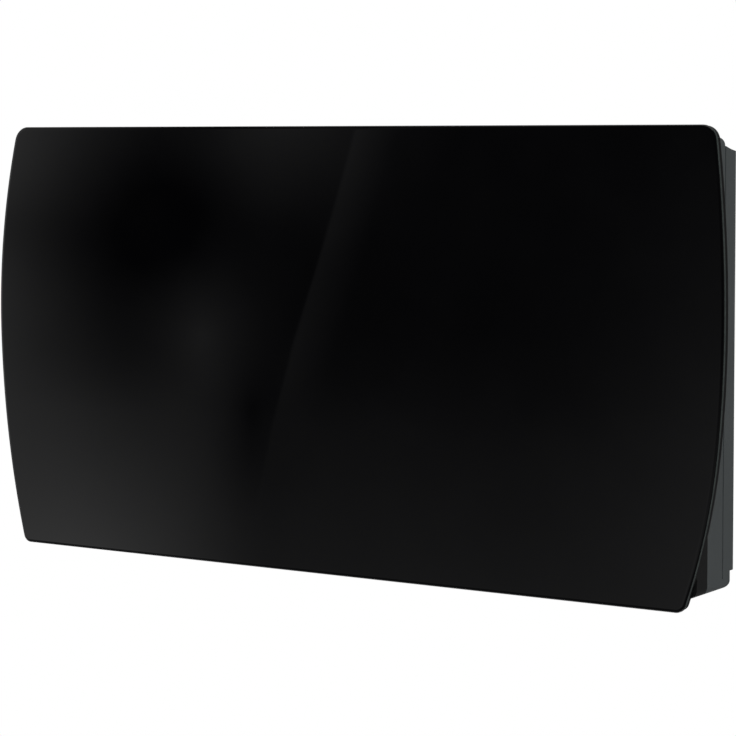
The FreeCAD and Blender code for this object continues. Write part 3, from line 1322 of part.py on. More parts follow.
def wall_bracket():
    """Steel rail with four screw holes, a stiffening lip below and two hooks above."""
    plate = clipped_block(span(0, BRACKET_LENGTH), (-BRACKET_PLATE, 0), span(0, BRACKET_HEIGHT),
                          BRACKET_CORNER, Y_AXIS)
    low = -BRACKET_HEIGHT / 2
    top = BRACKET_HEIGHT / 2
    lip = block(span(0, BRACKET_LENGTH - 2 * BRACKET_CORNER), (-BRACKET_PLATE - BRACKET_LIP, 0),
                (low, low + BRACKET_PLATE))
    reach = Y_REAR_INNER - PLATE_THICKNESS - HOOK_GAP
    hooks = []
    for side in SIDES:
        x_span = span(side * HOOK_SPACING / 2, HOOK_WIDTH)
        hooks.append(block(x_span, (reach - BRACKET_PLATE, 0), (top - BRACKET_PLATE, top)))
        tongue = clipped_block(x_span, (reach - BRACKET_PLATE, reach),
                               (top - BRACKET_PLATE, top + HOOK_RISE), HOOK_CORNER, Y_AXIS)
        root = block(x_span, (reach - BRACKET_PLATE, reach), (top - BRACKET_PLATE, top))
        hooks += [tongue, root]
    holes = []
    for x in span(0, FIXING_SPACING_X):
        for z in span(0, FIXING_SPACING_Z):
            base = Vector(x, -BRACKET_PLATE - OVERRUN, z)
            holes.append(Part.makeCylinder(FIXING_RADIUS, BRACKET_PLATE + 2 * OVERRUN, base, Y_AXIS))
    return fuse(plate, lip, *hooks).cut(holes)


def wall_buffers():
    """Rubber buffers plugged into the back of the rear cover, reaching to the wall."""
    buffers = []
    for place in buffer_places():
        pad = Part.makeCone(BUFFER_RADIUS, BUFFER_TIP_RADIUS, WALL_GAP, place, Y_AXIS)
        neck = six_sided(BUFFER_NECK, REAR_WALL + BUFFER_BULB_LENGTH, place, -Y_AXIS)
        bulb = six_sided(BUFFER_BULB, BUFFER_BULB_LENGTH, place - Y_AXIS * (REAR_WALL + THREAD_GAP), -Y_AXIS)
        buffers.append(fuse(pad, neck, bulb))
    return Part.makeCompound(buffers)


def lead(places):
    """Insulated wire with mitred bends along a route."""
    prism = hexagon(2 * LEAD_RADIUS, LEAD_RADIUS, places[0], places[1] - places[0])
    ends = [face for face in prism.Faces if (face.CenterOfMass - places[0]).Length < TOLERANCE]
    return Part.makePolygon(places).makePipeShell([ends[0].OuterWire], True, False, 1)


def element_leads():
    """Link between the elements on the left, and their feed from the power board on the right."""
    low, high = element_axes()
    tip = ELEMENT_LENGTH / 2 + ROD_REACH + TERMINAL_REACH + LEAD_GAP
    y = element_y()
    bend = 4 * LEAD_RADIUS
    left = [Vector(-tip, y, low), Vector(-tip - bend, y, low), Vector(-tip - bend, y, high),
            Vector(-tip, y, high)]
    y_board = Y_PILLAR - BOARD_THICKNESS - LEAD_GAP
    z_board = board_spans()[1][0] + 2 * BOARD_HOLE_MARGIN
    feeds = []
    for step, z in enumerate((high, low)):
        x = tip + (step + 1) * bend
        feeds.append([Vector(tip, y, z), Vector(x, y, z), Vector(x, y, z_board), Vector(x, y_board, z_board)])
    return Part.makeCompound([lead(places) for places in [left] + feeds])


def mains_leads():
    """Leads from the terminal block up to the power board."""
    middle = block_middle()[0]
    y_board = Y_PILLAR - BOARD_THICKNESS - LEAD_GAP
    z_block = middle.z + BLOCK_SIZE[2] / 2 + LEAD_GAP
    z_board = board_spans()[1][0] + BOARD_HOLE_MARGIN
    y = middle.y - BLOCK_SIZE[1] / 2
    leads = []
    for side in SIDES:
        x = middle.x + side * 3 * LEAD_RADIUS
        leads.append([Vector(x, y, z_block), Vector(x, y, z_board), Vector(x, y_board, z_board)])
    return Part.makeCompound([lead(places) for places in leads])


def switch_leads():
    """Leads along the casing's bottom from the mains switch to the terminal block."""
    middle = switch_middle()
    seat = block_middle()[0]
    start = middle.x + SWITCH_DEPTH + BLADE_REACH + LEAD_GAP
    z_run = Z_CASE_LOW + 2 * GRILLE_DEPTH
    z_end = seat.z - BLOCK_SIZE[2] / 2 - LEAD_GAP
    y_end = seat.y - BLOCK_SIZE[1] / 2
    leads = []
    for side in SIDES:
        z = middle.z + side * switch_body_size()[1] / 4
        x = start + (side + 2) * 4 * LEAD_RADIUS
        y_run = Y_MID_CENTRE + side * 3 * LEAD_RADIUS
        x_end = seat.x + side * 3 * LEAD_RADIUS
        leads.append([Vector(start, middle.y, z), Vector(x, middle.y, z), Vector(x, y_run, z_run),
                      Vector(x_end, y_run, z_run), Vector(x_end, y_end, z_run), Vector(x_end, y_end, z_end)])
    return Part.makeCompound([lead(places) for places in leads])


def control_lead():
    """Lead from the power board up to the underside of the control board."""
    hole = tray_hole()
    x_span, z_span = board_spans()
    z_board = z_span[1] - 2 * BOARD_HOLE_MARGIN
    y_board = Y_PILLAR - BOARD_THICKNESS - LEAD_GAP
    x = x_span[0] + 3 * BOARD_HOLE_MARGIN
    end = control_board_z()[0] - LEAD_GAP
    return lead([Vector(x, y_board, z_board), Vector(x, hole.y, z_board),
                 Vector(hole.x, hole.y, hole.z - TRAY_DEPTH), Vector(hole.x, hole.y, end)])


def film_leads():
    """Leads from the busbars through the grommets to the power board."""
    y_board = Y_PILLAR - BOARD_THICKNESS - LEAD_GAP
    x_span, z_span = board_spans()
    z_run = Z_CASE_LOW + 2 * GRILLE_DEPTH
    routes = []
    for side, place in zip(SIDES, grommet_places()):
        y_run = place.y + 3 * GROMMET_LENGTH
        x_end = x_span[1] - 2 * BOARD_HOLE_MARGIN + side * BOARD_HOLE_MARGIN
        z_end = z_span[0] + 4 * BOARD_HOLE_MARGIN
        route = [place, Vector(place.x, y_run, place.z)]
        if side < 0:
            route += [Vector(place.x, y_run, z_run), Vector(x_end, y_run, z_run)]
        routes.append(route + [Vector(x_end, y_run, z_end), Vector(x_end, y_board, z_end)])
    return Part.makeCompound([lead(places) for places in routes])


def build():
    """Every piece of the heater, by node name."""
    low, high = element_axes()
    nodes = {
        "glass_panel": glass_panel(),
        "glass_carrier": glass_carrier(),
        "carrier_nuts": carrier_nuts(),
        "heating_film": heating_film(),
        "film_busbars": film_busbars(),
        "insulation_pad": insulation_pad(),
        "front_casing": front_casing(),
        "film_grommets": film_grommets(),
        "mid_frame": mid_frame(),
        "outlet_grille": grille(Z_CASE_TOP, 1, OUTLET_BLADE_TILT),
        "inlet_grille": grille(Z_CASE_LOW, -1, INLET_BLADE_TILT),
        "rear_cover": rear_cover(),
        "case_screws": case_screws(),
        "rear_vent": rear_vent(),
        "hanger_plates": hanger_plates(),
        "hanger_rivets": hanger_rivets(),
        "lower_element": finned_element(low),
        "upper_element": finned_element(high),
        "lower_rod": element_rod(low),
        "upper_rod": element_rod(high),
        "element_bushes": element_bushes(),
        "left_element_bracket": element_bracket(-1),
        "right_element_bracket": element_bracket(1),
        "reflector": reflector(),
        "reflector_rivets": reflector_rivets(),
        "thermal_cutout": thermal_cutout(),
        "room_sensor": room_sensor(),
        "power_board": power_board(),
        "power_relays": power_relays(),
        "board_transformer": board_transformer(),
        "board_capacitor": board_capacitor(),
        "terminal_block": terminal_block(),
        "tapping_screws": tapping_screws(),
        "cable_gland": cable_gland(),
        "gland_nut": gland_nut(),
        "control_fascia": control_fascia(),
        "display_lens": display_lens(),
        "control_tray": control_tray(),
        "control_board": control_board(),
        "display_module": display_module(),
        "tact_switches": tact_switches(),
        "rocker_housing": rocker_housing(),
        "rocker": rocker(),
        "element_leads": element_leads(),
        "mains_leads": mains_leads(),
        "switch_leads": switch_leads(),
        "control_lead": control_lead(),
        "film_leads": film_leads(),
        "wall_bracket": wall_bracket(),
        "wall_buffers": wall_buffers(),
    }
    for step, name in enumerate(BUTTON_NAMES):
        nodes[name + "_button"] = button(step)
    return nodes


os.makedirs("parts", exist_ok=True)
for node, shape in build().items():
    shape.exportStep("parts/" + node + ".step")
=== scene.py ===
"""Glass panel heater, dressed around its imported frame. Metres, in the frame of the part:
the origin is the middle of the wall fixing, +X to the right, +Z up, and the glass faces -Y."""

import json
import math

import bmesh
import bpy
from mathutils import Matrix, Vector


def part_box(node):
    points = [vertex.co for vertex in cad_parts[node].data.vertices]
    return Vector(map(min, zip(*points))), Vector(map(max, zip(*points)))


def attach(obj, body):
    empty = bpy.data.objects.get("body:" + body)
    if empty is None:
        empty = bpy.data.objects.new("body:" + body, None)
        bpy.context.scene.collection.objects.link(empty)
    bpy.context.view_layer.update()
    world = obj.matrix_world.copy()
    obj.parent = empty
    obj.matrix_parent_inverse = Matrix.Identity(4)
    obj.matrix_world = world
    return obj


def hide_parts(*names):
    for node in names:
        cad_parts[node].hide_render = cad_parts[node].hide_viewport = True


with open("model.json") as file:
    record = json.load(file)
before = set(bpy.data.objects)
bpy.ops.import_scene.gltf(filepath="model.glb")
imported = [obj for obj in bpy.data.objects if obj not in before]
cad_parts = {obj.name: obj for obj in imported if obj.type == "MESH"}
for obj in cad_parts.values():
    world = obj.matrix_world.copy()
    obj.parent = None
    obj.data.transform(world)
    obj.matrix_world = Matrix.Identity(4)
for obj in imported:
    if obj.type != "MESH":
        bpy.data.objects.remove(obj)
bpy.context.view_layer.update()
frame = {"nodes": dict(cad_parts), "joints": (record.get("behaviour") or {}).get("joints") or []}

# Wall bracket, front casing and rear vent: pressed and folded sheet steel. The bracket is screwed to the
# wall, the case screws hold the casing, and the vent plate lies inside the rear cover.
# Their black powder coat is baked on, and leaves a fine orange peel and a low, even sheen.
MM = 0.001
COAT_TONES = ("0D0E0E", "141515")
COAT_PEEL = 1.6 * MM      # real peel is about half of this, drawn coarser so that it shows
COAT_DEPTH = 0.03 * MM
COAT_ROUGHNESS = (0.42, 0.56)
DRIFT = 90 * MM           # slow changes of tone and gloss are about this wide
GRAIN_CONTRAST = (0.35, 0.65)       # values of a pattern at which its two tones are reached


def linear(hex_colour):
    """Linear colour of an sRGB hex value, with full alpha."""
    channels = [int(hex_colour[i:i + 2], 16) / 255 for i in (0, 2, 4)]
    return (*(c / 12.92 if c <= 0.04045 else ((c + 0.055) / 1.055) ** 2.4 for c in channels), 1)


def add(tree, kind, inputs=None, to=None, stops=(), **settings):
    """A node with its settings, its inputs set or linked, and its first output linked on.

    An input takes a value, a socket or a list of sockets. Stops are a ramp's places and colours.
    """
    node = tree.nodes.new(kind)
    for name, value in settings.items():
        setattr(node, name, value)
    for index, (position, colour) in enumerate(stops):
        node.color_ramp.elements[index].position = position
        node.color_ramp.elements[index].color = linear(colour)
    for key, value in (inputs or {}).items():
        for source in value if isinstance(value, list) else [value]:
            if isinstance(source, bpy.types.NodeSocket):
                tree.links.new(source, node.inputs[key])
            else:
                node.inputs[key].default_value = source
    if to:
        tree.links.new(node.outputs[0], to)
    return node.outputs


def new_material(name):
    """A material with its node tree, its shader and its object coordinates."""
    material = bpy.data.materials.new(name)
    material.use_nodes = True
    tree = material.node_tree
    shader = tree.nodes["Principled BSDF"]
    place = add(tree, "ShaderNodeTexCoord")["Object"]
    return material, tree, shader, place


def grained(name, tones, grain, depth, roughness, ior=1.5):
    """A moulded or coated surface: fine grain pressed in, with slow drifts of tone and gloss."""
    material, tree, shader, place = new_material(name)
    fine = add(tree, "ShaderNodeTexNoise", {"Vector": place, "Scale": 1 / grain, "Detail": 3.0})["Fac"]
    slow = add(tree, "ShaderNodeTexNoise", {"Vector": place, "Scale": 1 / DRIFT, "Detail": 4.0})["Fac"]
    both = add(tree, "ShaderNodeMath", {0: fine, 1: slow}, operation="ADD")[0]
    mean = add(tree, "ShaderNodeMath", {0: both, 1: 0.5}, operation="MULTIPLY")[0]
    add(tree, "ShaderNodeValToRGB", {"Fac": mean}, shader.inputs["Base Color"], zip(GRAIN_CONTRAST, tones))
    add(tree, "ShaderNodeMapRange", {"Value": slow, "To Min": roughness[0], "To Max": roughness[1]},
        shader.inputs["Roughness"])
    add(tree, "ShaderNodeBump", {"Height": fine, "Distance": depth}, shader.inputs["Normal"])
    shader.inputs["IOR"].default_value = ior
    return material


def dress(material, *names):
    """Gives nodes of the frame one material."""
    for name in names:
        slots = frame["nodes"][name].data.materials
        slots.clear()
        slots.append(material)


powder_coat = grained("black_powder_coat", COAT_TONES, COAT_PEEL, COAT_DEPTH, COAT_ROUGHNESS)
dress(powder_coat, "wall_bracket", "front_casing", "rear_vent")

# Hanger plates, element brackets, rods, nuts, rivets and screws: steel, pressed or turned, then zinc plated.
# The plates are riveted inside the rear cover, and the brackets are screwed to its pillars.
# The plating is cloudy and slightly blue, with patches of different gloss.
ZINC_TONES = ("8E9298", "B9BCC0")
ZINC_CLOUD = 14 * MM
ZINC_ROUGHNESS = (0.26, 0.46)
CLOUD_CONTRAST = (0.3, 0.7)


def clouded(name, tones, contrast, cloud, roughness, detail, **sockets):
    """A smooth surface whose tone and gloss drift together, with plain values for other sockets."""
    material, tree, shader, place = new_material(name)
    drift = add(tree, "ShaderNodeTexNoise", {"Vector": place, "Scale": 1 / cloud, "Detail": detail})["Fac"]
    add(tree, "ShaderNodeValToRGB", {"Fac": drift}, shader.inputs["Base Color"], zip(contrast, tones))
    add(tree, "ShaderNodeMapRange", {"Value": drift, "To Min": roughness[0], "To Max": roughness[1]},
        shader.inputs["Roughness"])
    for socket, value in sockets.items():
        shader.inputs[socket].default_value = value
    return material


zinc_plate = clouded("zinc_plated_steel", ZINC_TONES, CLOUD_CONTRAST, ZINC_CLOUD, ZINC_ROUGHNESS,
                     detail=6.0, Metallic=1.0)
dress(zinc_plate, "hanger_plates", "hanger_rivets", "left_element_bracket", "right_element_bracket",
      "carrier_nuts", "reflector_rivets", "tapping_screws", "case_screws", "lower_rod", "upper_rod")

# Case screws and hanger rivets: zinc-plated heads on the back of the rear cover, with shanks into it.
# One tree of geometry nodes makes both: a domed head, cut by a cross on the screws, set on each place.
SCREW_HEAD = 7 * MM
SCREW_HEAD_HEIGHT = 2.8 * MM
SCREW_SHANK_RADIUS = 2 * MM
RIVET_HEAD = 6.4 * MM
RIVET_HEAD_HEIGHT = 1.2 * MM
RIVET_SHANK_RADIUS = 1.6 * MM
RIVET_SPACING = 68 * MM
HEX_REACH_SHARE = 1 / math.sqrt(3)  # from the middle to a corner of the frame's hexagonal heads
DOME_SHARE = 0.85         # a head keeps the square root of 1 less this of its width at the top
CROSS_LENGTH_SHARE = 1.1  # of the head's radius, and so is the width
CROSS_WIDTH_SHARE = 0.26
CROSS_DEPTH_SHARE = 0.45  # of the head's height
HEAD_SIDES = 28
DOME_STEPS = 6
SHANK_SIDES = 16
FASTENER_CREASE = math.radians(35)
FACING_BACK = (math.radians(-90), 0, 0)

fasteners = bpy.data.node_groups.new("fasteners", "GeometryNodeTree")
for name, kind in (("Places", "Geometry"), ("Head Radius", "Float"), ("Head Height", "Float"),
                   ("Shank Radius", "Float"), ("Shank Length", "Float"), ("Cross Recess", "Bool"),
                   ("Finish", "Material")):
    fasteners.interface.new_socket(name, in_out="INPUT", socket_type="NodeSocket" + kind)
fasteners.interface.new_socket("Geometry", in_out="OUTPUT", socket_type="NodeSocketGeometry")
given = add(fasteners, "NodeGroupInput")


def shifted(mesh, size, share):
    """Moves a mesh along the fastener's axis, by a share of one of the fastener's sizes."""
    rise = add(fasteners, "ShaderNodeMath", {0: size, 1: share}, operation="MULTIPLY")[0]
    offset = add(fasteners, "ShaderNodeCombineXYZ", {"Z": rise})[0]
    return add(fasteners, "GeometryNodeTransform", {"Geometry": mesh, "Translation": offset})[0]


blank = add(fasteners, "GeometryNodeMeshCylinder",
            {"Vertices": HEAD_SIDES, "Side Segments": DOME_STEPS,
             "Radius": given["Head Radius"], "Depth": given["Head Height"]})["Mesh"]
seated = shifted(blank, given["Head Height"], 0.5)
place = add(fasteners, "GeometryNodeInputPosition")[0]
rise = add(fasteners, "ShaderNodeSeparateXYZ", {0: place})["Z"]
rise_share = add(fasteners, "ShaderNodeMath", {0: rise, 1: given["Head Height"]}, operation="DIVIDE")[0]
squared = add(fasteners, "ShaderNodeMath", {0: rise_share, 1: rise_share}, operation="MULTIPLY")[0]
kept = add(fasteners, "ShaderNodeMath", {0: squared, 1: -DOME_SHARE, 2: 1.0}, operation="MULTIPLY_ADD")[0]
width = add(fasteners, "ShaderNodeMath", {0: kept}, operation="SQRT")[0]
narrowing = add(fasteners, "ShaderNodeCombineXYZ", {"X": width, "Y": width, "Z": 1.0})[0]
domed = add(fasteners, "ShaderNodeVectorMath", {0: place, 1: narrowing}, operation="MULTIPLY")[0]
head = add(fasteners, "GeometryNodeSetPosition", {"Geometry": seated, "Position": domed})[0]
long_side, short_side = [
    add(fasteners, "ShaderNodeMath", {0: given["Head Radius"], 1: share}, operation="MULTIPLY")[0]
    for share in (CROSS_LENGTH_SHARE, CROSS_WIDTH_SHARE)]
punches = []
for size_x, size_y in ((long_side, short_side), (short_side, long_side)):
    size = add(fasteners, "ShaderNodeCombineXYZ", {"X": size_x, "Y": size_y, "Z": given["Head Height"]})[0]
    punch = add(fasteners, "GeometryNodeMeshCube", {"Size": size})["Mesh"]
    punches.append(shifted(punch, given["Head Height"], 1.5 - CROSS_DEPTH_SHARE))
crossed = add(fasteners, "GeometryNodeMeshBoolean", {"Mesh 1": head, "Mesh 2": punches},
              operation="DIFFERENCE")["Mesh"]
chosen = add(fasteners, "GeometryNodeSwitch",
             {"Switch": given["Cross Recess"], "False": head, "True": crossed}, input_type="GEOMETRY")[0]
shank = add(fasteners, "GeometryNodeMeshCylinder",
            {"Vertices": SHANK_SIDES,
             "Radius": given["Shank Radius"], "Depth": given["Shank Length"]})["Mesh"]
sunk = shifted(shank, given["Shank Length"], -0.5)
whole = add(fasteners, "GeometryNodeJoinGeometry", {0: [chosen, sunk]})[0]
copies = add(fasteners, "GeometryNodeInstanceOnPoints",
             {"Points": given["Places"], "Instance": whole, "Rotation": FACING_BACK})[0]
solid = add(fasteners, "GeometryNodeRealizeInstances", {0: copies})[0]
finished = add(fasteners, "GeometryNodeSetMaterial", {"Geometry": solid, "Material": given["Finish"]})[0]
add(fasteners, "NodeGroupOutput", {"Geometry": finished})
socket_ids = {item.name: item.identifier for item in fasteners.interface.items_tree if item.in_out == "INPUT"}


def put(name, data):
    """A new object of the scene that holds a mesh, a lamp or a camera."""
    thing = bpy.data.objects.new(name, data)
    bpy.context.scene.collection.objects.link(thing)
    return thing


def set_fasteners(name, node, places, sizes):
    """Sets one kind of fastener on its places, instead of a node of the frame."""
    place_mesh = bpy.data.meshes.new(name)
    place_mesh.from_pydata(places, [], [])
    piece = put(name, place_mesh)
    modifier = piece.modifiers.new("fasteners", "NODES")
    modifier.node_group = fasteners
    for socket, value in sizes.items():
        modifier[socket_ids[socket]] = value
    modifier[socket_ids["Finish"]] = zinc_plate
    made = piece.evaluated_get(bpy.context.evaluated_depsgraph_get())
    piece_mesh = bpy.data.meshes.new_from_object(made)
    piece.modifiers.remove(modifier)
    piece.data = piece_mesh
    piece_mesh.shade_smooth()
    piece_mesh.set_sharp_from_angle(angle=FASTENER_CREASE)
    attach(piece, "heater")
    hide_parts(node)


low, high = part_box("case_screws")
screw_x = high.x - HEX_REACH_SHARE * SCREW_HEAD
screw_seat = high.y - SCREW_HEAD_HEIGHT
lowest, topmost = low.z + SCREW_HEAD / 2, high.z - SCREW_HEAD / 2
screw_heights = (lowest, topmost, (lowest + topmost) / 2)
set_fasteners("cross_screws", "case_screws",
              [(x, screw_seat, z) for x in (-screw_x, screw_x) for z in screw_heights],
              {"Head Radius": SCREW_HEAD / 2, "Head Height": SCREW_HEAD_HEIGHT,
               "Shank Radius": SCREW_SHANK_RADIUS, "Shank Length": screw_seat - low.y, "Cross Recess": True})

low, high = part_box("hanger_rivets")
outer_rivet = high.x - HEX_REACH_SHARE * RIVET_HEAD
inner_rivet = outer_rivet - RIVET_SPACING
rivet_seat = high.y - RIVET_HEAD_HEIGHT
set_fasteners("domed_rivets", "hanger_rivets",
              [(x, rivet_seat, (low.z + high.z) / 2)
               for x in (-outer_rivet, -inner_rivet, outer_rivet, inner_rivet)],
              {"Head Radius": RIVET_HEAD / 2, "Head Height": RIVET_HEAD_HEIGHT,
               "Shank Radius": RIVET_SHANK_RADIUS, "Shank Length": rivet_seat - low.y, "Cross Recess": False})

# Rear cover and mid frame: moulded charcoal plastic, screwed together from behind.
# The tool was spark eroded, so the face has a fine even grain and little gloss.
CHARCOAL_TONES = ("454A4B", "4D5152")
MOULD_GRAIN = 1.2 * MM    # real grain is nearer 0.3 mm, drawn coarser so that it shows
MOULD_DEPTH = 0.03 * MM
MOULD_ROUGHNESS = (0.5, 0.6)

charcoal_plastic = grained("charcoal_moulded_plastic", CHARCOAL_TONES, MOULD_GRAIN, MOULD_DEPTH,
                           MOULD_ROUGHNESS)
dress(charcoal_plastic, "mid_frame", "rear_cover")

# Grilles, glass carrier, control tray, switch housing, cable gland and the bodies of small electrical parts:
# black moulded plastic. The grilles, housing and gland sit in openings of the mid frame by a flange.
# The tools have the same grain as the cover's, so it is as dull, in black.
BLACK_TONES = ("0A0B0B", "101111")

black_plastic = grained("black_moulded_plastic", BLACK_TONES, MOULD_GRAIN, MOULD_DEPTH, MOULD_ROUGHNESS)
dress(black_plastic, "outlet_grille", "inlet_grille", "glass_carrier", "control_tray", "rocker_housing",
      "cable_gland", "gland_nut", "thermal_cutout", "room_sensor", "power_relays", "board_transformer",
      "board_capacitor", "display_module", "tact_switches")

# Film grommets and wall buffers: moulded black rubber, pushed into holes of the front casing and rear cover.
# It is dull, with a pale bloom in patches.
RUBBER_TONES = ("141414", "222221")
RUBBER_GRAIN = 2.5 * MM
RUBBER_DEPTH = 0.05 * MM
RUBBER_ROUGHNESS = (0.7, 0.85)

black_rubber = grained("black_rubber", RUBBER_TONES, RUBBER_GRAIN, RUBBER_DEPTH, RUBBER_ROUGHNESS)
dress(black_rubber, "film_grommets", "wall_buffers")

# Elements and reflector: extruded and rolled aluminium, left as it comes from the mill. The elements sit
# on their rods, and the reflector is riveted to both element brackets.
# Die lines run along the length and stretch the highlights across it.
ALUMINIUM_TONES = ("B4B6B8", "D2D3D4")
ALUMINIUM_ROUGHNESS = (0.28, 0.44)
DIE_LINE = 0.8 * MM       # real lines are about a quarter of this, drawn coarser so that they show
DIE_LINE_LENGTH = 100     # times its width
DIE_LINE_DEPTH = 0.02 * MM

mill_aluminium, tree, shader, place = new_material("mill_aluminium")
drawn = add(tree, "ShaderNodeMapping", {"Vector": place, "Scale": (1 / DIE_LINE_LENGTH, 1, 1)})[0]
lines = add(tree, "ShaderNodeTexNoise", {"Vector": drawn, "Scale": 1 / DIE_LINE, "Detail": 2.0})["Fac"]
add(tree, "ShaderNodeValToRGB", {"Fac": lines}, shader.inputs["Base Color"],
    zip(CLOUD_CONTRAST, ALUMINIUM_TONES))
add(tree, "ShaderNodeMapRange",
    {"Value": lines, "To Min": ALUMINIUM_ROUGHNESS[0], "To Max": ALUMINIUM_ROUGHNESS[1]},
    shader.inputs["Roughness"])
add(tree, "ShaderNodeBump", {"Height": lines, "Distance": DIE_LINE_DEPTH}, shader.inputs["Normal"])
shader.inputs["Metallic"].default_value = 1.0
dress(mill_aluminium, "lower_element", "upper_element", "reflector")

# Element bushes: unglazed steatite rings that carry the elements' rods in notches of the brackets.
# They are pressed and fired, ivory, with a fine dark speckle.
STEATITE_TONES = ("CFC6B2", "E4DDCB")
STEATITE_SPECKLE = 1.5 * MM         # real specks are about a third of this, drawn coarser so that they show
STEATITE_DEPTH = 0.04 * MM
STEATITE_ROUGHNESS = (0.65, 0.8)

steatite = grained("unglazed_steatite", STEATITE_TONES, STEATITE_SPECKLE, STEATITE_DEPTH, STEATITE_ROUGHNESS)
dress(steatite, "element_bushes")

# Power and control boards: glass-fibre board under green solder resist, on pillars and on the tray's posts.
# Tracks show as a lighter, slightly raised pattern under the resist.
RESIST_TONES = ("0E3A22", "1C5A36")
RESIST_ROUGHNESS = 0.35
RESIST_CONTRAST = (0.2, 0.8)
TRACK_PITCH = 5 * MM      # about twice the real pitch, drawn coarser so that it shows
TRACK_WIDTH_SHARE = 0.06
TRACK_DEPTH = 0.05 * MM

solder_resist, tree, shader, place = new_material("green_solder_resist")
tracks = add(tree, "ShaderNodeTexBrick",
             {"Vector": place, "Scale": 1 / TRACK_PITCH, "Mortar Size": TRACK_WIDTH_SHARE,
              "Color1": linear("000000"), "Color2": linear("000000"), "Mortar": linear("FFFFFF")})["Color"]
add(tree, "ShaderNodeValToRGB", {"Fac": tracks}, shader.inputs["Base Color"],
    zip(RESIST_CONTRAST, RESIST_TONES))
add(tree, "ShaderNodeBump", {"Height": tracks, "Distance": TRACK_DEPTH}, shader.inputs["Normal"])
shader.inputs["Roughness"].default_value = RESIST_ROUGHNESS
dress(solder_resist, "power_board", "control_board")

# Terminal block: moulded white nylon, screwed to pillars of the rear cover.
# It is slightly yellowed, with a soft gloss.
NYLON_TONES = ("D8D4C6", "E6E3D8")
NYLON_GRAIN = 3 * MM
NYLON_DEPTH = 0.02 * MM
NYLON_ROUGHNESS = (0.4, 0.5)
NYLON_IOR = 1.53

white_nylon = grained("white_nylon", NYLON_TONES, NYLON_GRAIN, NYLON_DEPTH, NYLON_ROUGHNESS, NYLON_IOR)
dress(white_nylon, "terminal_block")

# Leads: stranded wire in extruded silicone sheaths, run from terminal to terminal inside the casing.
# Each run has a colour of its kind, and the sheath is smooth with a slight drag along it.
SHEATHS = {
    "element_leads": ("7A2A22", "8C3A30"),
    "mains_leads": ("5A3A22", "6A4A30"),
    "switch_leads": ("1F3E78", "2C4E8A"),
    "control_lead": ("8A8A86", "9A9A96"),
    "film_leads": ("7A2A22", "8C3A30"),
}
SHEATH_DRAG = 4 * MM
SHEATH_DEPTH = 0.02 * MM
SHEATH_ROUGHNESS = (0.45, 0.6)
SILICONE_IOR = 1.41

for lead, tones in SHEATHS.items():
    sheath = grained("silicone_sheath_" + lead, tones, SHEATH_DRAG, SHEATH_DEPTH, SHEATH_ROUGHNESS,
                     SILICONE_IOR)
    dress(sheath, lead)

# Heating film: carbon printed on clear film, bonded to the back of the glass.
# The print is in upright stripes between the two copper bars.
FILM_TONES = ("101010", "2A2A29")
FILM_ROUGHNESS = 0.55
STRIPE_PITCH = 9 * MM
STRIPES_PER_WAVE = 20     # a wave texture of scale 1 has about this many bands per 2 pi units

carbon_film, tree, shader, place = new_material("printed_carbon_film")
stripes = add(tree, "ShaderNodeTexWave",
              {"Vector": place, "Scale": 2 * math.pi / STRIPES_PER_WAVE / STRIPE_PITCH, "Distortion": 0.0},
              bands_direction="X")["Fac"]
add(tree, "ShaderNodeValToRGB", {"Fac": stripes}, shader.inputs["Base Color"],
    zip(GRAIN_CONTRAST, FILM_TONES))
shader.inputs["Roughness"].default_value = FILM_ROUGHNESS
dress(carbon_film, "heating_film")

# Film busbars: strips of rolled copper foil down both ends of the film.
# They are slightly tarnished, in clouds.
COPPER_TONES = ("A8643E", "C98A62")
COPPER_CLOUD = 14 * MM
COPPER_ROUGHNESS = (0.3, 0.5)

copper_foil = clouded("copper_foil", COPPER_TONES, CLOUD_CONTRAST, COPPER_CLOUD, COPPER_ROUGHNESS,
                      detail=5.0, Metallic=1.0)
dress(copper_foil, "film_busbars")

# Insulation pad: needled mineral felt that lies between the film and the front casing.
# Its fibres are matted and soft, and show no gloss.
FELT_TONES = ("A8A294", "CFC9BB")
FELT_TUFT = 3 * MM
FELT_DEPTH = 0.6 * MM
FELT_ROUGHNESS = (0.9, 1.0)

felt = grained("needled_felt", FELT_TONES, FELT_TUFT, FELT_DEPTH, FELT_ROUGHNESS)
dress(felt, "insulation_pad")

# Control fascia and rocker: black plastic from a polished tool, so both are glossy.
# The fascia sits in the top of the mid frame by its flange, and the rocker turns on pins in its housing.
GLOSS_TONES = ("0C0C0D", "111112")
GLOSS_RIPPLE = 20 * MM
GLOSS_DEPTH = 0.02 * MM
GLOSS_ROUGHNESS = (0.1, 0.18)

gloss_plastic = grained("polished_black_plastic", GLOSS_TONES, GLOSS_RIPPLE, GLOSS_DEPTH, GLOSS_ROUGHNESS)
dress(gloss_plastic, "control_fascia", "rocker")

# Display lens: a plate of smoked acrylic on a ledge of the fascia, over the display.
# It is clear and hard, and nearly a mirror.
LENS_TONES = ("08090B", "0E1013")
LENS_RIPPLE = 25 * MM
LENS_DEPTH = 0.01 * MM
LENS_ROUGHNESS = (0.04, 0.08)
ACRYLIC_IOR = 1.49

smoked_acrylic = grained("smoked_acrylic", LENS_TONES, LENS_RIPPLE, LENS_DEPTH, LENS_ROUGHNESS, ACRYLIC_IOR)
dress(smoked_acrylic, "display_lens")

# Buttons: moulded grey keys that slide in the fascia, each over a push switch.
# Their satin face has a finer grain than the casing's.
KEY_TONES = ("54585A", "5E6264")
KEY_GRAIN = 1 * MM        # real grain is nearer 0.2 mm, drawn coarser so that it shows
KEY_DEPTH = 0.02 * MM
KEY_ROUGHNESS = (0.38, 0.46)

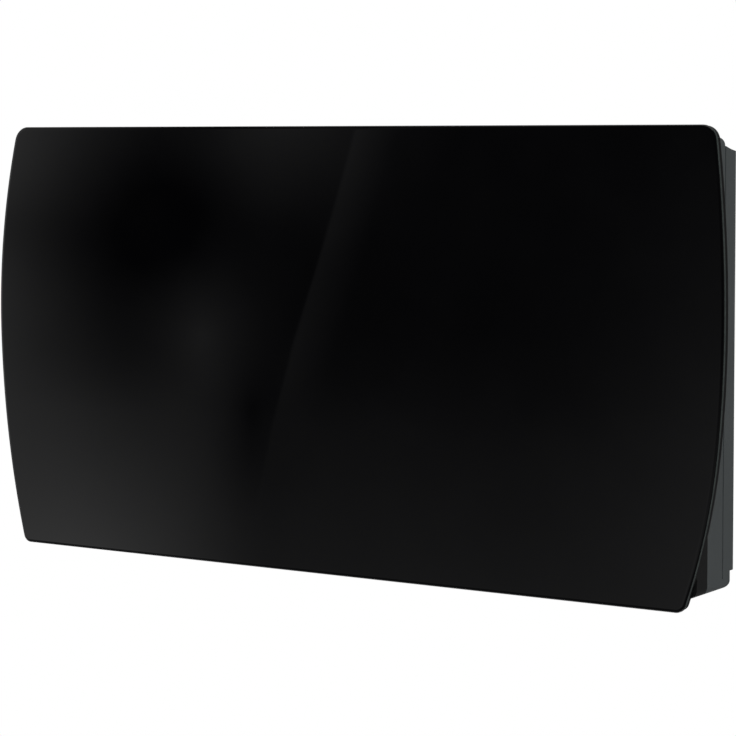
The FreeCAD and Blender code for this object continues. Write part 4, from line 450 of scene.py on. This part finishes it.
satin_key = grained("satin_grey_key", KEY_TONES, KEY_GRAIN, KEY_DEPTH, KEY_ROUGHNESS)
dress(satin_key, "power_button", "mode_button", "minus_button", "plus_button")

# Marks on the keys and the rocker: white ink, pad printed and slightly worn in patches.
# Power, heat, minus and plus stand on the key tops, and the usual line and ring on the rocker's two halves.
INK_TONES = ("B9BCBC", "DADCDC")
INK_THICKNESS = 0.04 * MM
INK_GRAIN = 0.6 * MM
INK_DEPTH = 0.01 * MM
INK_ROUGHNESS = (0.45, 0.6)
STROKE = 0.6 * MM
MARK_REACH = 2.3 * MM
POWER_GAP = math.radians(38)
POWER_LINE_SHARES = (0.2, 1.3)      # ends of the power mark's line, of the reach
RIPPLE_SPACING = 0.7 * MARK_REACH
RING_STEPS = 32
WAVE_STEPS = 16

white_ink = grained("white_pad_ink", INK_TONES, INK_GRAIN, INK_DEPTH, INK_ROUGHNESS)


def stroke(points):
    """Quads along a line of points, as wide as a stroke of the pen."""
    sides = []
    for i, (x, y) in enumerate(points):
        (x0, y0), (x1, y1) = points[max(i - 1, 0)], points[min(i + 1, len(points) - 1)]
        length = math.hypot(x1 - x0, y1 - y0)
        across = (-(y1 - y0) / length * STROKE / 2, (x1 - x0) / length * STROKE / 2)
        sides.append(((x + across[0], y + across[1]), (x - across[0], y - across[1])))
    return [(a[1], b[1], b[0], a[0]) for a, b in zip(sides, sides[1:])]


def ring(gap):
    """A ring with a gap at its top, given as an angle each side of it."""
    angles = [math.pi / 2 + gap + (2 * math.pi - 2 * gap) * i / RING_STEPS for i in range(RING_STEPS + 1)]
    return stroke([(MARK_REACH * math.cos(a), MARK_REACH * math.sin(a)) for a in angles])


def ripple(x):
    """One upright wave of rising warm air."""
    turns = [i / WAVE_STEPS for i in range(WAVE_STEPS + 1)]
    return stroke([(x + STROKE / 2 * math.sin(2 * math.pi * t), MARK_REACH * (2 * t - 1)) for t in turns])


def print_mark(name, body, quads, lay):
    """A printed mark whose flat outline is laid on a surface by a function."""
    corners = [lay(x, y) for quad in quads for x, y in quad]
    mark_mesh = bpy.data.meshes.new(name)
    mark_mesh.from_pydata(corners, [], [range(i, i + 4) for i in range(0, len(corners), 4)])
    mark_mesh.materials.append(white_ink)
    mark = put(name, mark_mesh)
    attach(mark, body)


flat_line = stroke([(-MARK_REACH, 0), (MARK_REACH, 0)])
upright_line = stroke([(0, -MARK_REACH), (0, MARK_REACH)])
key_marks = {
    "power": ring(POWER_GAP) + stroke([(0, share * MARK_REACH) for share in POWER_LINE_SHARES]),
    "mode": ripple(-RIPPLE_SPACING) + ripple(0) + ripple(RIPPLE_SPACING),
    "minus": flat_line,
    "plus": flat_line + upright_line,
}
for key, quads in key_marks.items():
    low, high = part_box(key + "_button")
    middle = (low + high) / 2
    print_mark(key + "_mark", key + "_button", quads,
               lambda x, y: (middle.x + x, middle.y + y, high.z + INK_THICKNESS))

PIVOT = Vector(next(joint for joint in frame["joints"] if joint["name"] == "rocker_tip")["pos_m"])
FACE_STAND = 3.5 * MM     # outer face before the pivot, in the middle
FACE_RISE = 1.5 * MM      # the dished face comes out by this
FACE_RUN = 17 * MM        # over this height
ROCKER_TILT = math.radians(-8)
MARK_OFFSET = 6.5 * MM


def on_rocker(side):
    """Lays a flat outline on one half of the rocker's dished face, tipped as the rocker is."""
    def lay(x, y):
        up = side * MARK_OFFSET + y
        out = -FACE_STAND - FACE_RISE / FACE_RUN * abs(up) - INK_THICKNESS
        return PIVOT + Vector((out * math.cos(ROCKER_TILT) + up * math.sin(ROCKER_TILT), -x,
                               up * math.cos(ROCKER_TILT) - out * math.sin(ROCKER_TILT)))
    return lay


print_mark("rocker_line", "rocker", upright_line, on_rocker(1))
print_mark("rocker_ring", "rocker", ring(0), on_rocker(-1))

# Glass front: one sheet of toughened glass, bowed in height and barrelled in outline, painted black
# behind and bonded to its carrier. Its edge is ground round and polished, and its face is flat enough to
# mirror the room.
GLASS_LOW, GLASS_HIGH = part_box("glass_panel")
HALF_WIDTH = GLASS_HIGH.x
GLASS_THICKNESS = 5 * MM
WAIST = GLASS_LOW.z + 262 * MM
SIDE_RADIUS = 1110 * MM
LOWER_SIDE = GLASS_LOW.z + 150 * MM
LOWER_SIDE_RADIUS = 720 * MM
TOP_CORNER = 16 * MM
LOW_CORNER = 10 * MM
SWEEP = GLASS_LOW.z + 230 * MM
SWEEP_BACK = 11.6 * MM
KICK = GLASS_LOW.z + 150 * MM
KICK_OUT = 5 * MM
FACE_Y = GLASS_LOW.y + KICK_OUT
EDGE_WIDTH = 3.5 * MM     # the round runs this far in over the face
EDGE_DEPTH = 1.5 * MM     # and this far back over the side
ARRIS = 0.4 * MM
FLAT_MARGIN = 0.3 * MM    # the face is flat up to this far inside its rounded edge
ARC_STEPS = 40
CORNER_STEPS = 14
ROUND_STEPS = 8
GLASS_CREASE = math.radians(40)
GLASS_TONES = ("030304", "050506")
GLASS_ROUGHNESS = (0.012, 0.03)
GLASS_SMEAR = 60 * MM
ROLLER_WAVE = 240 * MM
ROLLER_DEPTH = 0.15 * MM
EDGE_AND_HIGHLIGHT_TONES = ("2A302F", "353C3A")
EDGE_GRIND = 6 * MM
EDGE_ROUGHNESS = (0.12, 0.24)
GLASS_IOR = 1.52


def bow(z):
    """Where the face of the glass lies at a height."""
    for start, way, offset in ((SWEEP, 1, SWEEP_BACK), (KICK, -1, KICK_OUT)):
        rise = (z - start) * way
        reach = (GLASS_HIGH.z - start) if way > 0 else (start - GLASS_LOW.z)
        radius = (reach ** 2 + offset ** 2) / (2 * offset)
        if rise > 0:
            return FACE_Y + way * (radius - math.sqrt(radius ** 2 - rise ** 2))
    return FACE_Y


def arc_points(centre, radius, start, end, steps):
    """Places along an arc, from one angle to another."""
    angles = [start + (end - start) * i / steps for i in range(steps + 1)]
    return [(centre[0] + radius * math.cos(a), centre[1] + radius * math.sin(a)) for a in angles]


def right_edge(inset):
    """Right half of the outline from bottom to top, drawn in by an inset."""
    upper = (HALF_WIDTH - SIDE_RADIUS, WAIST)
    blend = math.asin((LOWER_SIDE - WAIST) / SIDE_RADIUS)
    lower = (upper[0] + (SIDE_RADIUS - LOWER_SIDE_RADIUS) * math.cos(blend),
             upper[1] + (SIDE_RADIUS - LOWER_SIDE_RADIUS) * math.sin(blend))
    low_z = GLASS_LOW.z + LOW_CORNER
    low_gap = LOWER_SIDE_RADIUS - LOW_CORNER
    low_x = lower[0] + math.sqrt(low_gap ** 2 - (low_z - lower[1]) ** 2)
    low_turn = math.atan2(low_z - lower[1], low_x - lower[0])
    top_z = GLASS_HIGH.z - TOP_CORNER
    top_gap = SIDE_RADIUS - TOP_CORNER
    top_x = upper[0] + math.sqrt(top_gap ** 2 - (top_z - upper[1]) ** 2)
    top_turn = math.atan2(top_z - upper[1], top_x - upper[0])
    return (arc_points((low_x, low_z), LOW_CORNER - inset, -math.pi / 2, low_turn, CORNER_STEPS)
            + arc_points(lower, LOWER_SIDE_RADIUS - inset, low_turn, blend, ARC_STEPS)[1:]
            + arc_points(upper, SIDE_RADIUS - inset, blend, top_turn, ARC_STEPS)[1:]
            + arc_points((top_x, top_z), TOP_CORNER - inset, top_turn, math.pi / 2, CORNER_STEPS)[1:])


rounds = [math.pi / 2 * i / ROUND_STEPS for i in range(ROUND_STEPS + 1)]
layers = [(EDGE_WIDTH + FLAT_MARGIN, 0)]
layers += [(EDGE_WIDTH * (1 - math.sin(a)), EDGE_DEPTH * (1 - math.cos(a))) for a in rounds]
layers += [(0, GLASS_THICKNESS - ARRIS), (ARRIS, GLASS_THICKNESS)]
side_band = len(rounds)   # the step from the end of the round to the arris
sheet = bmesh.new()
rings = []
for inset, depth in layers:
    right = right_edge(inset)
    around = right + [(-x, z) for x, z in reversed(right)]
    rings.append([sheet.verts.new((x, bow(z) + depth, z)) for x, z in around])
for rim, turned in ((rings[0], False), (rings[-1], True)):
    for i in range(len(rim) // 2 - 1):
        quad = (rim[i], rim[i + 1], rim[-2 - i], rim[-1 - i])
        sheet.faces.new(reversed(quad) if turned else quad)
for step, (near, far) in enumerate(zip(rings, rings[1:])):
    for i in range(len(near)):
        j = (i + 1) % len(near)
        edge_face = sheet.faces.new((near[j], near[i], far[i], far[j]))
        edge_face.material_index = 1 if step == side_band else 0
bmesh.ops.recalc_face_normals(sheet, faces=sheet.faces)
for face in sheet.faces:
    face.smooth = True
glass_mesh = bpy.data.meshes.new("glass_front")
sheet.to_mesh(glass_mesh)
sheet.free()
glass_mesh.set_sharp_from_angle(angle=GLASS_CREASE)

# On the face, the paint shows through as a deep black under a hard mirror of a few percent, with the long
# slow waves that the toughening rollers leave.
black_glass, tree, shader, place = new_material("black_toughened_glass")
wave = add(tree, "ShaderNodeTexNoise", {"Vector": place, "Scale": 1 / ROLLER_WAVE, "Detail": 1.0})["Fac"]
smear = add(tree, "ShaderNodeTexNoise", {"Vector": place, "Scale": 1 / GLASS_SMEAR, "Detail": 5.0})["Fac"]
add(tree, "ShaderNodeValToRGB", {"Fac": smear}, shader.inputs["Base Color"], zip(CLOUD_CONTRAST, GLASS_TONES))
add(tree, "ShaderNodeMapRange", {"Value": smear, "To Min": GLASS_ROUGHNESS[0], "To Max": GLASS_ROUGHNESS[1]},
    shader.inputs["Roughness"])
add(tree, "ShaderNodeBump", {"Height": wave, "Distance": ROLLER_DEPTH}, shader.inputs["Normal"])
shader.inputs["IOR"].default_value = GLASS_IOR

# The side has no paint, so the green-grey body of the glass shows there, and its polish is duller.
# Its tone is also set lighter than that, as a painted highlight: the thin bright line along the edge.
glass_edge = clouded("polished_glass_edge", EDGE_AND_HIGHLIGHT_TONES, GRAIN_CONTRAST, EDGE_GRIND, EDGE_ROUGHNESS,
                     detail=3.0, IOR=GLASS_IOR)
glass_mesh.materials.append(black_glass)
glass_mesh.materials.append(glass_edge)
glass_front = put("glass_front", glass_mesh)
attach(glass_front, "heater")
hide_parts("glass_panel")

# Floor: a wide pale disc a metre below the heater, seen only from above.
# It keeps the soft shadow of the heater and runs into the white of the room.
FLOOR_DROP = 0.95
FLOOR_RADIUS = 9.0
FLOOR_SIDES = 96
FLOOR_WHITE = "F4F4F4"
FLOOR_ROUGHNESS = 0.8
FLOOR_SHADE_REACH = 2.6   # the floor turns as white as the room between half of this and this
FLOOR_NEAR_GLOW = 0.9


def background_rays(tree):
    """1 for rays from the camera, and for those that a piece mirrors or lets through, else 0."""
    path = add(tree, "ShaderNodeLightPath")
    seen = path["Is Camera Ray"]
    for kind in ("Is Glossy Ray", "Is Transmission Ray"):
        seen = add(tree, "ShaderNodeMath", {0: seen, 1: path[kind]}, operation="MAXIMUM")[0]
    return seen


floor_mesh = bpy.data.meshes.new("floor")
disc = bmesh.new()
bmesh.ops.create_circle(disc, cap_ends=True, radius=FLOOR_RADIUS, segments=FLOOR_SIDES)
for vert in disc.verts:
    vert.co.z = GLASS_LOW.z - FLOOR_DROP
disc.to_mesh(floor_mesh)
disc.free()
floor_paint, tree, shader, place = new_material("pale_floor")
shader.inputs["Base Color"].default_value = linear(FLOOR_WHITE)
shader.inputs["Roughness"].default_value = FLOOR_ROUGHNESS
reach = add(tree, "ShaderNodeVectorMath", {0: place}, operation="LENGTH")["Value"]
fade = add(tree, "ShaderNodeMapRange",
           {"Value": reach, "From Min": FLOOR_SHADE_REACH / 2, "From Max": FLOOR_SHADE_REACH,
            "To Min": FLOOR_NEAR_GLOW, "To Max": 1.0})[0]
share = add(tree, "ShaderNodeMath", {0: background_rays(tree), 1: fade}, operation="MULTIPLY")[0]
glow = add(tree, "ShaderNodeEmission", {"Color": linear("FFFFFF"), "Strength": 1.0})[0]
lit = add(tree, "ShaderNodeMixShader", {0: share, 1: shader.outputs[0], 2: glow})[0]
underside = add(tree, "ShaderNodeNewGeometry")["Backfacing"]
clear = add(tree, "ShaderNodeBsdfTransparent")[0]
add(tree, "ShaderNodeMixShader", {0: underside, 1: lit, 2: clear},
    tree.nodes["Material Output"].inputs["Surface"])
floor_mesh.materials.append(floor_paint)
put("floor", floor_mesh)

# Room: white all round for the camera and in what the pieces mirror.
# On the heater itself it is a plain, even light.
ROOM_LIGHT = 0.55

room = bpy.data.worlds.new("white_room")
bpy.context.scene.world = room
room.use_nodes = True
tree = room.node_tree
background = tree.nodes["Background"]
background.inputs["Color"].default_value = linear("FFFFFF")
add(tree, "ShaderNodeMapRange", {"Value": background_rays(tree), "To Min": ROOM_LIGHT, "To Max": 1.0},
    background.inputs["Strength"])

# Reflection cards: black scrims round the heater that only mirrors see, as in a studio. A scrim lets through
# as much of the white room as its level says. The front one is lit unevenly, brightest low on the left, with
# a slanted strip of light that has one sharp edge. They draw the soft shapes on the glass.
CARD_DISTANCE = 0.6
CARD_HEIGHT = 3.0
CARD_CORNERS = ((-1, -1), (1, -1), (1, 1), (-1, 1))
CARD_WAYS = {"front": (0, -1, 0), "back": (0, 1, 0), "left": (-1, 0, 0), "right": (1, 0, 0)}
CARD_LEVELS = {"front": 0.016, "back": 0.13, "left": 0.17, "right": 0.06}
CARD_LIGHTS = {                           # middle and reach, across and up, and level
    "front": (
        ((-1.2, 0.1), (0.6, 0.9), 1.4),       # tall window on the left
        ((-0.8, -0.55), (0.4, 0.4), 1.4),     # lamp low on the left
        ((-0.5, 0.3), (0.3, 0.35), 0.2),      # patch high up
        ((-0.6, -0.15), (0.2, 0.3), 0.15),    # patch in the middle
        ((0.2, -0.35), (0.35, 0.85), 0.15),   # weak lamp on the right
        ((-1.0, 0.05), (0.6, 0.35), -0.3),    # flag that shades the window
        ((-0.52, -0.25), (0.12, 0.2), -0.08),  # flag beside the strip
    ),
    "back": (
        ((-0.4, 0.25), (0.9, 1.1), 0.6),      # window behind
    ),
    "left": (
        ((-0.45, -0.1), (0.35, 1.5), 1.2),    # tall window that lights the left rim of the glass
    ),
}
RAMP_HEIGHTS = (-0.1, -0.8)               # the front card grows lighter downwards between these
RAMP_LEVEL = 0.4
FOOT_HEIGHTS = (-0.48, -0.4)              # and grows dark again between these
FOOT_SHARE = 0.15
STRIP_X = -0.42                           # sharp edge of the strip at height 0
STRIP_SLOPE = 0.2
STRIP_BEND = -0.25
STRIP_EDGE = 0.006                        # the strip rises to its level over this width
STRIP_FADE = 0.07                         # and has faded at this one
STRIP_LEVEL = 0.065
STRIP_FOOT = (-0.35, -0.15)               # it fades in upwards between these heights


def front_card_level(tree, place, level):
    """The front card's level, with its ramp, its slanted strip and its dark foot."""
    across, _, height = add(tree, "ShaderNodeSeparateXYZ", {0: place})
    ramp = add(tree, "ShaderNodeMapRange",
               {"Value": height, "From Min": RAMP_HEIGHTS[0], "From Max": RAMP_HEIGHTS[1],
                "To Max": RAMP_LEVEL}, interpolation_type="SMOOTHSTEP")[0]
    ramped = add(tree, "ShaderNodeMath", {0: level, 1: ramp}, operation="ADD")[0]
    lean = add(tree, "ShaderNodeMath", {0: height, 1: STRIP_BEND, 2: STRIP_SLOPE},
               operation="MULTIPLY_ADD")[0]
    edge = add(tree, "ShaderNodeMath", {0: height, 1: lean, 2: STRIP_X}, operation="MULTIPLY_ADD")[0]
    past = add(tree, "ShaderNodeMath", {0: across, 1: edge}, operation="SUBTRACT")[0]
    start = add(tree, "ShaderNodeMapRange", {"Value": past, "From Max": STRIP_EDGE})[0]
    fade = add(tree, "ShaderNodeMapRange",
               {"Value": past, "From Max": STRIP_FADE, "To Min": STRIP_LEVEL, "To Max": 0})[0]
    strip = add(tree, "ShaderNodeMath", {0: start, 1: fade}, operation="MULTIPLY")[0]
    upward = add(tree, "ShaderNodeMapRange",
                 {"Value": height, "From Min": STRIP_FOOT[0], "From Max": STRIP_FOOT[1]})[0]
    lit = add(tree, "ShaderNodeMath", {0: strip, 1: upward, 2: ramped}, operation="MULTIPLY_ADD")[0]
    foot = add(tree, "ShaderNodeMapRange",
               {"Value": height, "From Min": FOOT_HEIGHTS[0], "From Max": FOOT_HEIGHTS[1],
                "To Min": FOOT_SHARE})[0]
    return add(tree, "ShaderNodeMath", {0: lit, 1: foot}, operation="MULTIPLY")[0]


heater_middle = (GLASS_LOW + GLASS_HIGH) / 2
card_up = Vector((0, 0, CARD_HEIGHT / 2))
for name, level in CARD_LEVELS.items():
    way = Vector(CARD_WAYS[name])
    out, along = (HALF_WIDTH, 0) if way.x else (0, HALF_WIDTH)
    middle = heater_middle + way * (CARD_DISTANCE + out)
    card_across = way.cross(Vector((0, 0, 1))) * (CARD_DISTANCE + along)
    card_mesh = bpy.data.meshes.new(name + "_card")
    card_mesh.from_pydata([middle + card_across * a + card_up * b for a, b in CARD_CORNERS], [],
                          [(0, 1, 2, 3)])
    scrim, tree, shader, place = new_material(name + "_scrim")
    for (across, up), (reach_across, reach_up), brightness in CARD_LIGHTS.get(name, ()):
        spot_middle = (middle.x, across, up) if way.x else (across, middle.y, up)
        spot_reach = (1, reach_across, reach_up) if way.x else (reach_across, 1, reach_up)
        centred = add(tree, "ShaderNodeMapping",
                      {"Vector": place, "Location": spot_middle, "Scale": spot_reach},
                      vector_type="TEXTURE")[0]
        spot = add(tree, "ShaderNodeTexGradient", {0: centred}, gradient_type="QUADRATIC_SPHERE")["Fac"]
        level = add(tree, "ShaderNodeMath", {0: spot, 1: brightness, 2: level}, operation="MULTIPLY_ADD")[0]
    if name == "front":
        level = front_card_level(tree, place, level)
    dark = add(tree, "ShaderNodeEmission", {"Color": linear("000000")})[0]
    clear = add(tree, "ShaderNodeBsdfTransparent")[0]
    add(tree, "ShaderNodeMixShader", {0: level, 1: dark, 2: clear},
        tree.nodes["Material Output"].inputs["Surface"])
    card_mesh.materials.append(scrim)
    card = put(name + "_card", card_mesh)
    for kind in ("camera", "diffuse", "transmission", "shadow", "volume_scatter"):
        setattr(card, "visible_" + kind, False)

# Lamps: one large soft box high on the right, and a weaker one lower down on the left.
# Both point at the heater, and neither shows in the glass.
LAMPS = {                                 # place, power in watts, and size
    "key_softbox": ((1.8, -1.6, 1.6), 28, 1.6),
    "fill_softbox": ((-1.6, -1.8, 0.6), 12, 1.8),
}

for name, (place, power, size) in LAMPS.items():
    lamp = bpy.data.lights.new(name, "AREA")
    lamp.energy = power
    lamp.size = size
    softbox = put(name, lamp)
    softbox.location = place
    softbox.rotation_euler = (-Vector(place)).to_track_quat("-Z", "Y").to_euler()
    softbox.visible_glossy = False

# Camera: to the right of the heater and a little above its middle, with a long lens.
# Its lens is shifted down instead of the camera tilting more, which keeps the uprights nearly upright.
CAMERA_PLACE = (1.429, -2.230, 0.104)
CAMERA_PITCH = 3.07       # degrees, as is the turn
CAMERA_TURN = 32.99
CAMERA_SHIFT = -0.12
SENSOR = 36.0             # millimetres
FOCAL_PIXELS = 2568
IMAGE_PIXELS = 736

camera_data = bpy.data.cameras.new("camera")
camera_data.sensor_width = SENSOR
camera_data.lens = FOCAL_PIXELS / IMAGE_PIXELS * SENSOR
camera_data.shift_y = CAMERA_SHIFT
camera = put("camera", camera_data)
camera.location = CAMERA_PLACE
camera.rotation_euler = (math.radians(90 - CAMERA_PITCH), 0, math.radians(CAMERA_TURN))
bpy.context.scene.camera = camera
bpy.context.scene.view_settings.view_transform = "Standard"
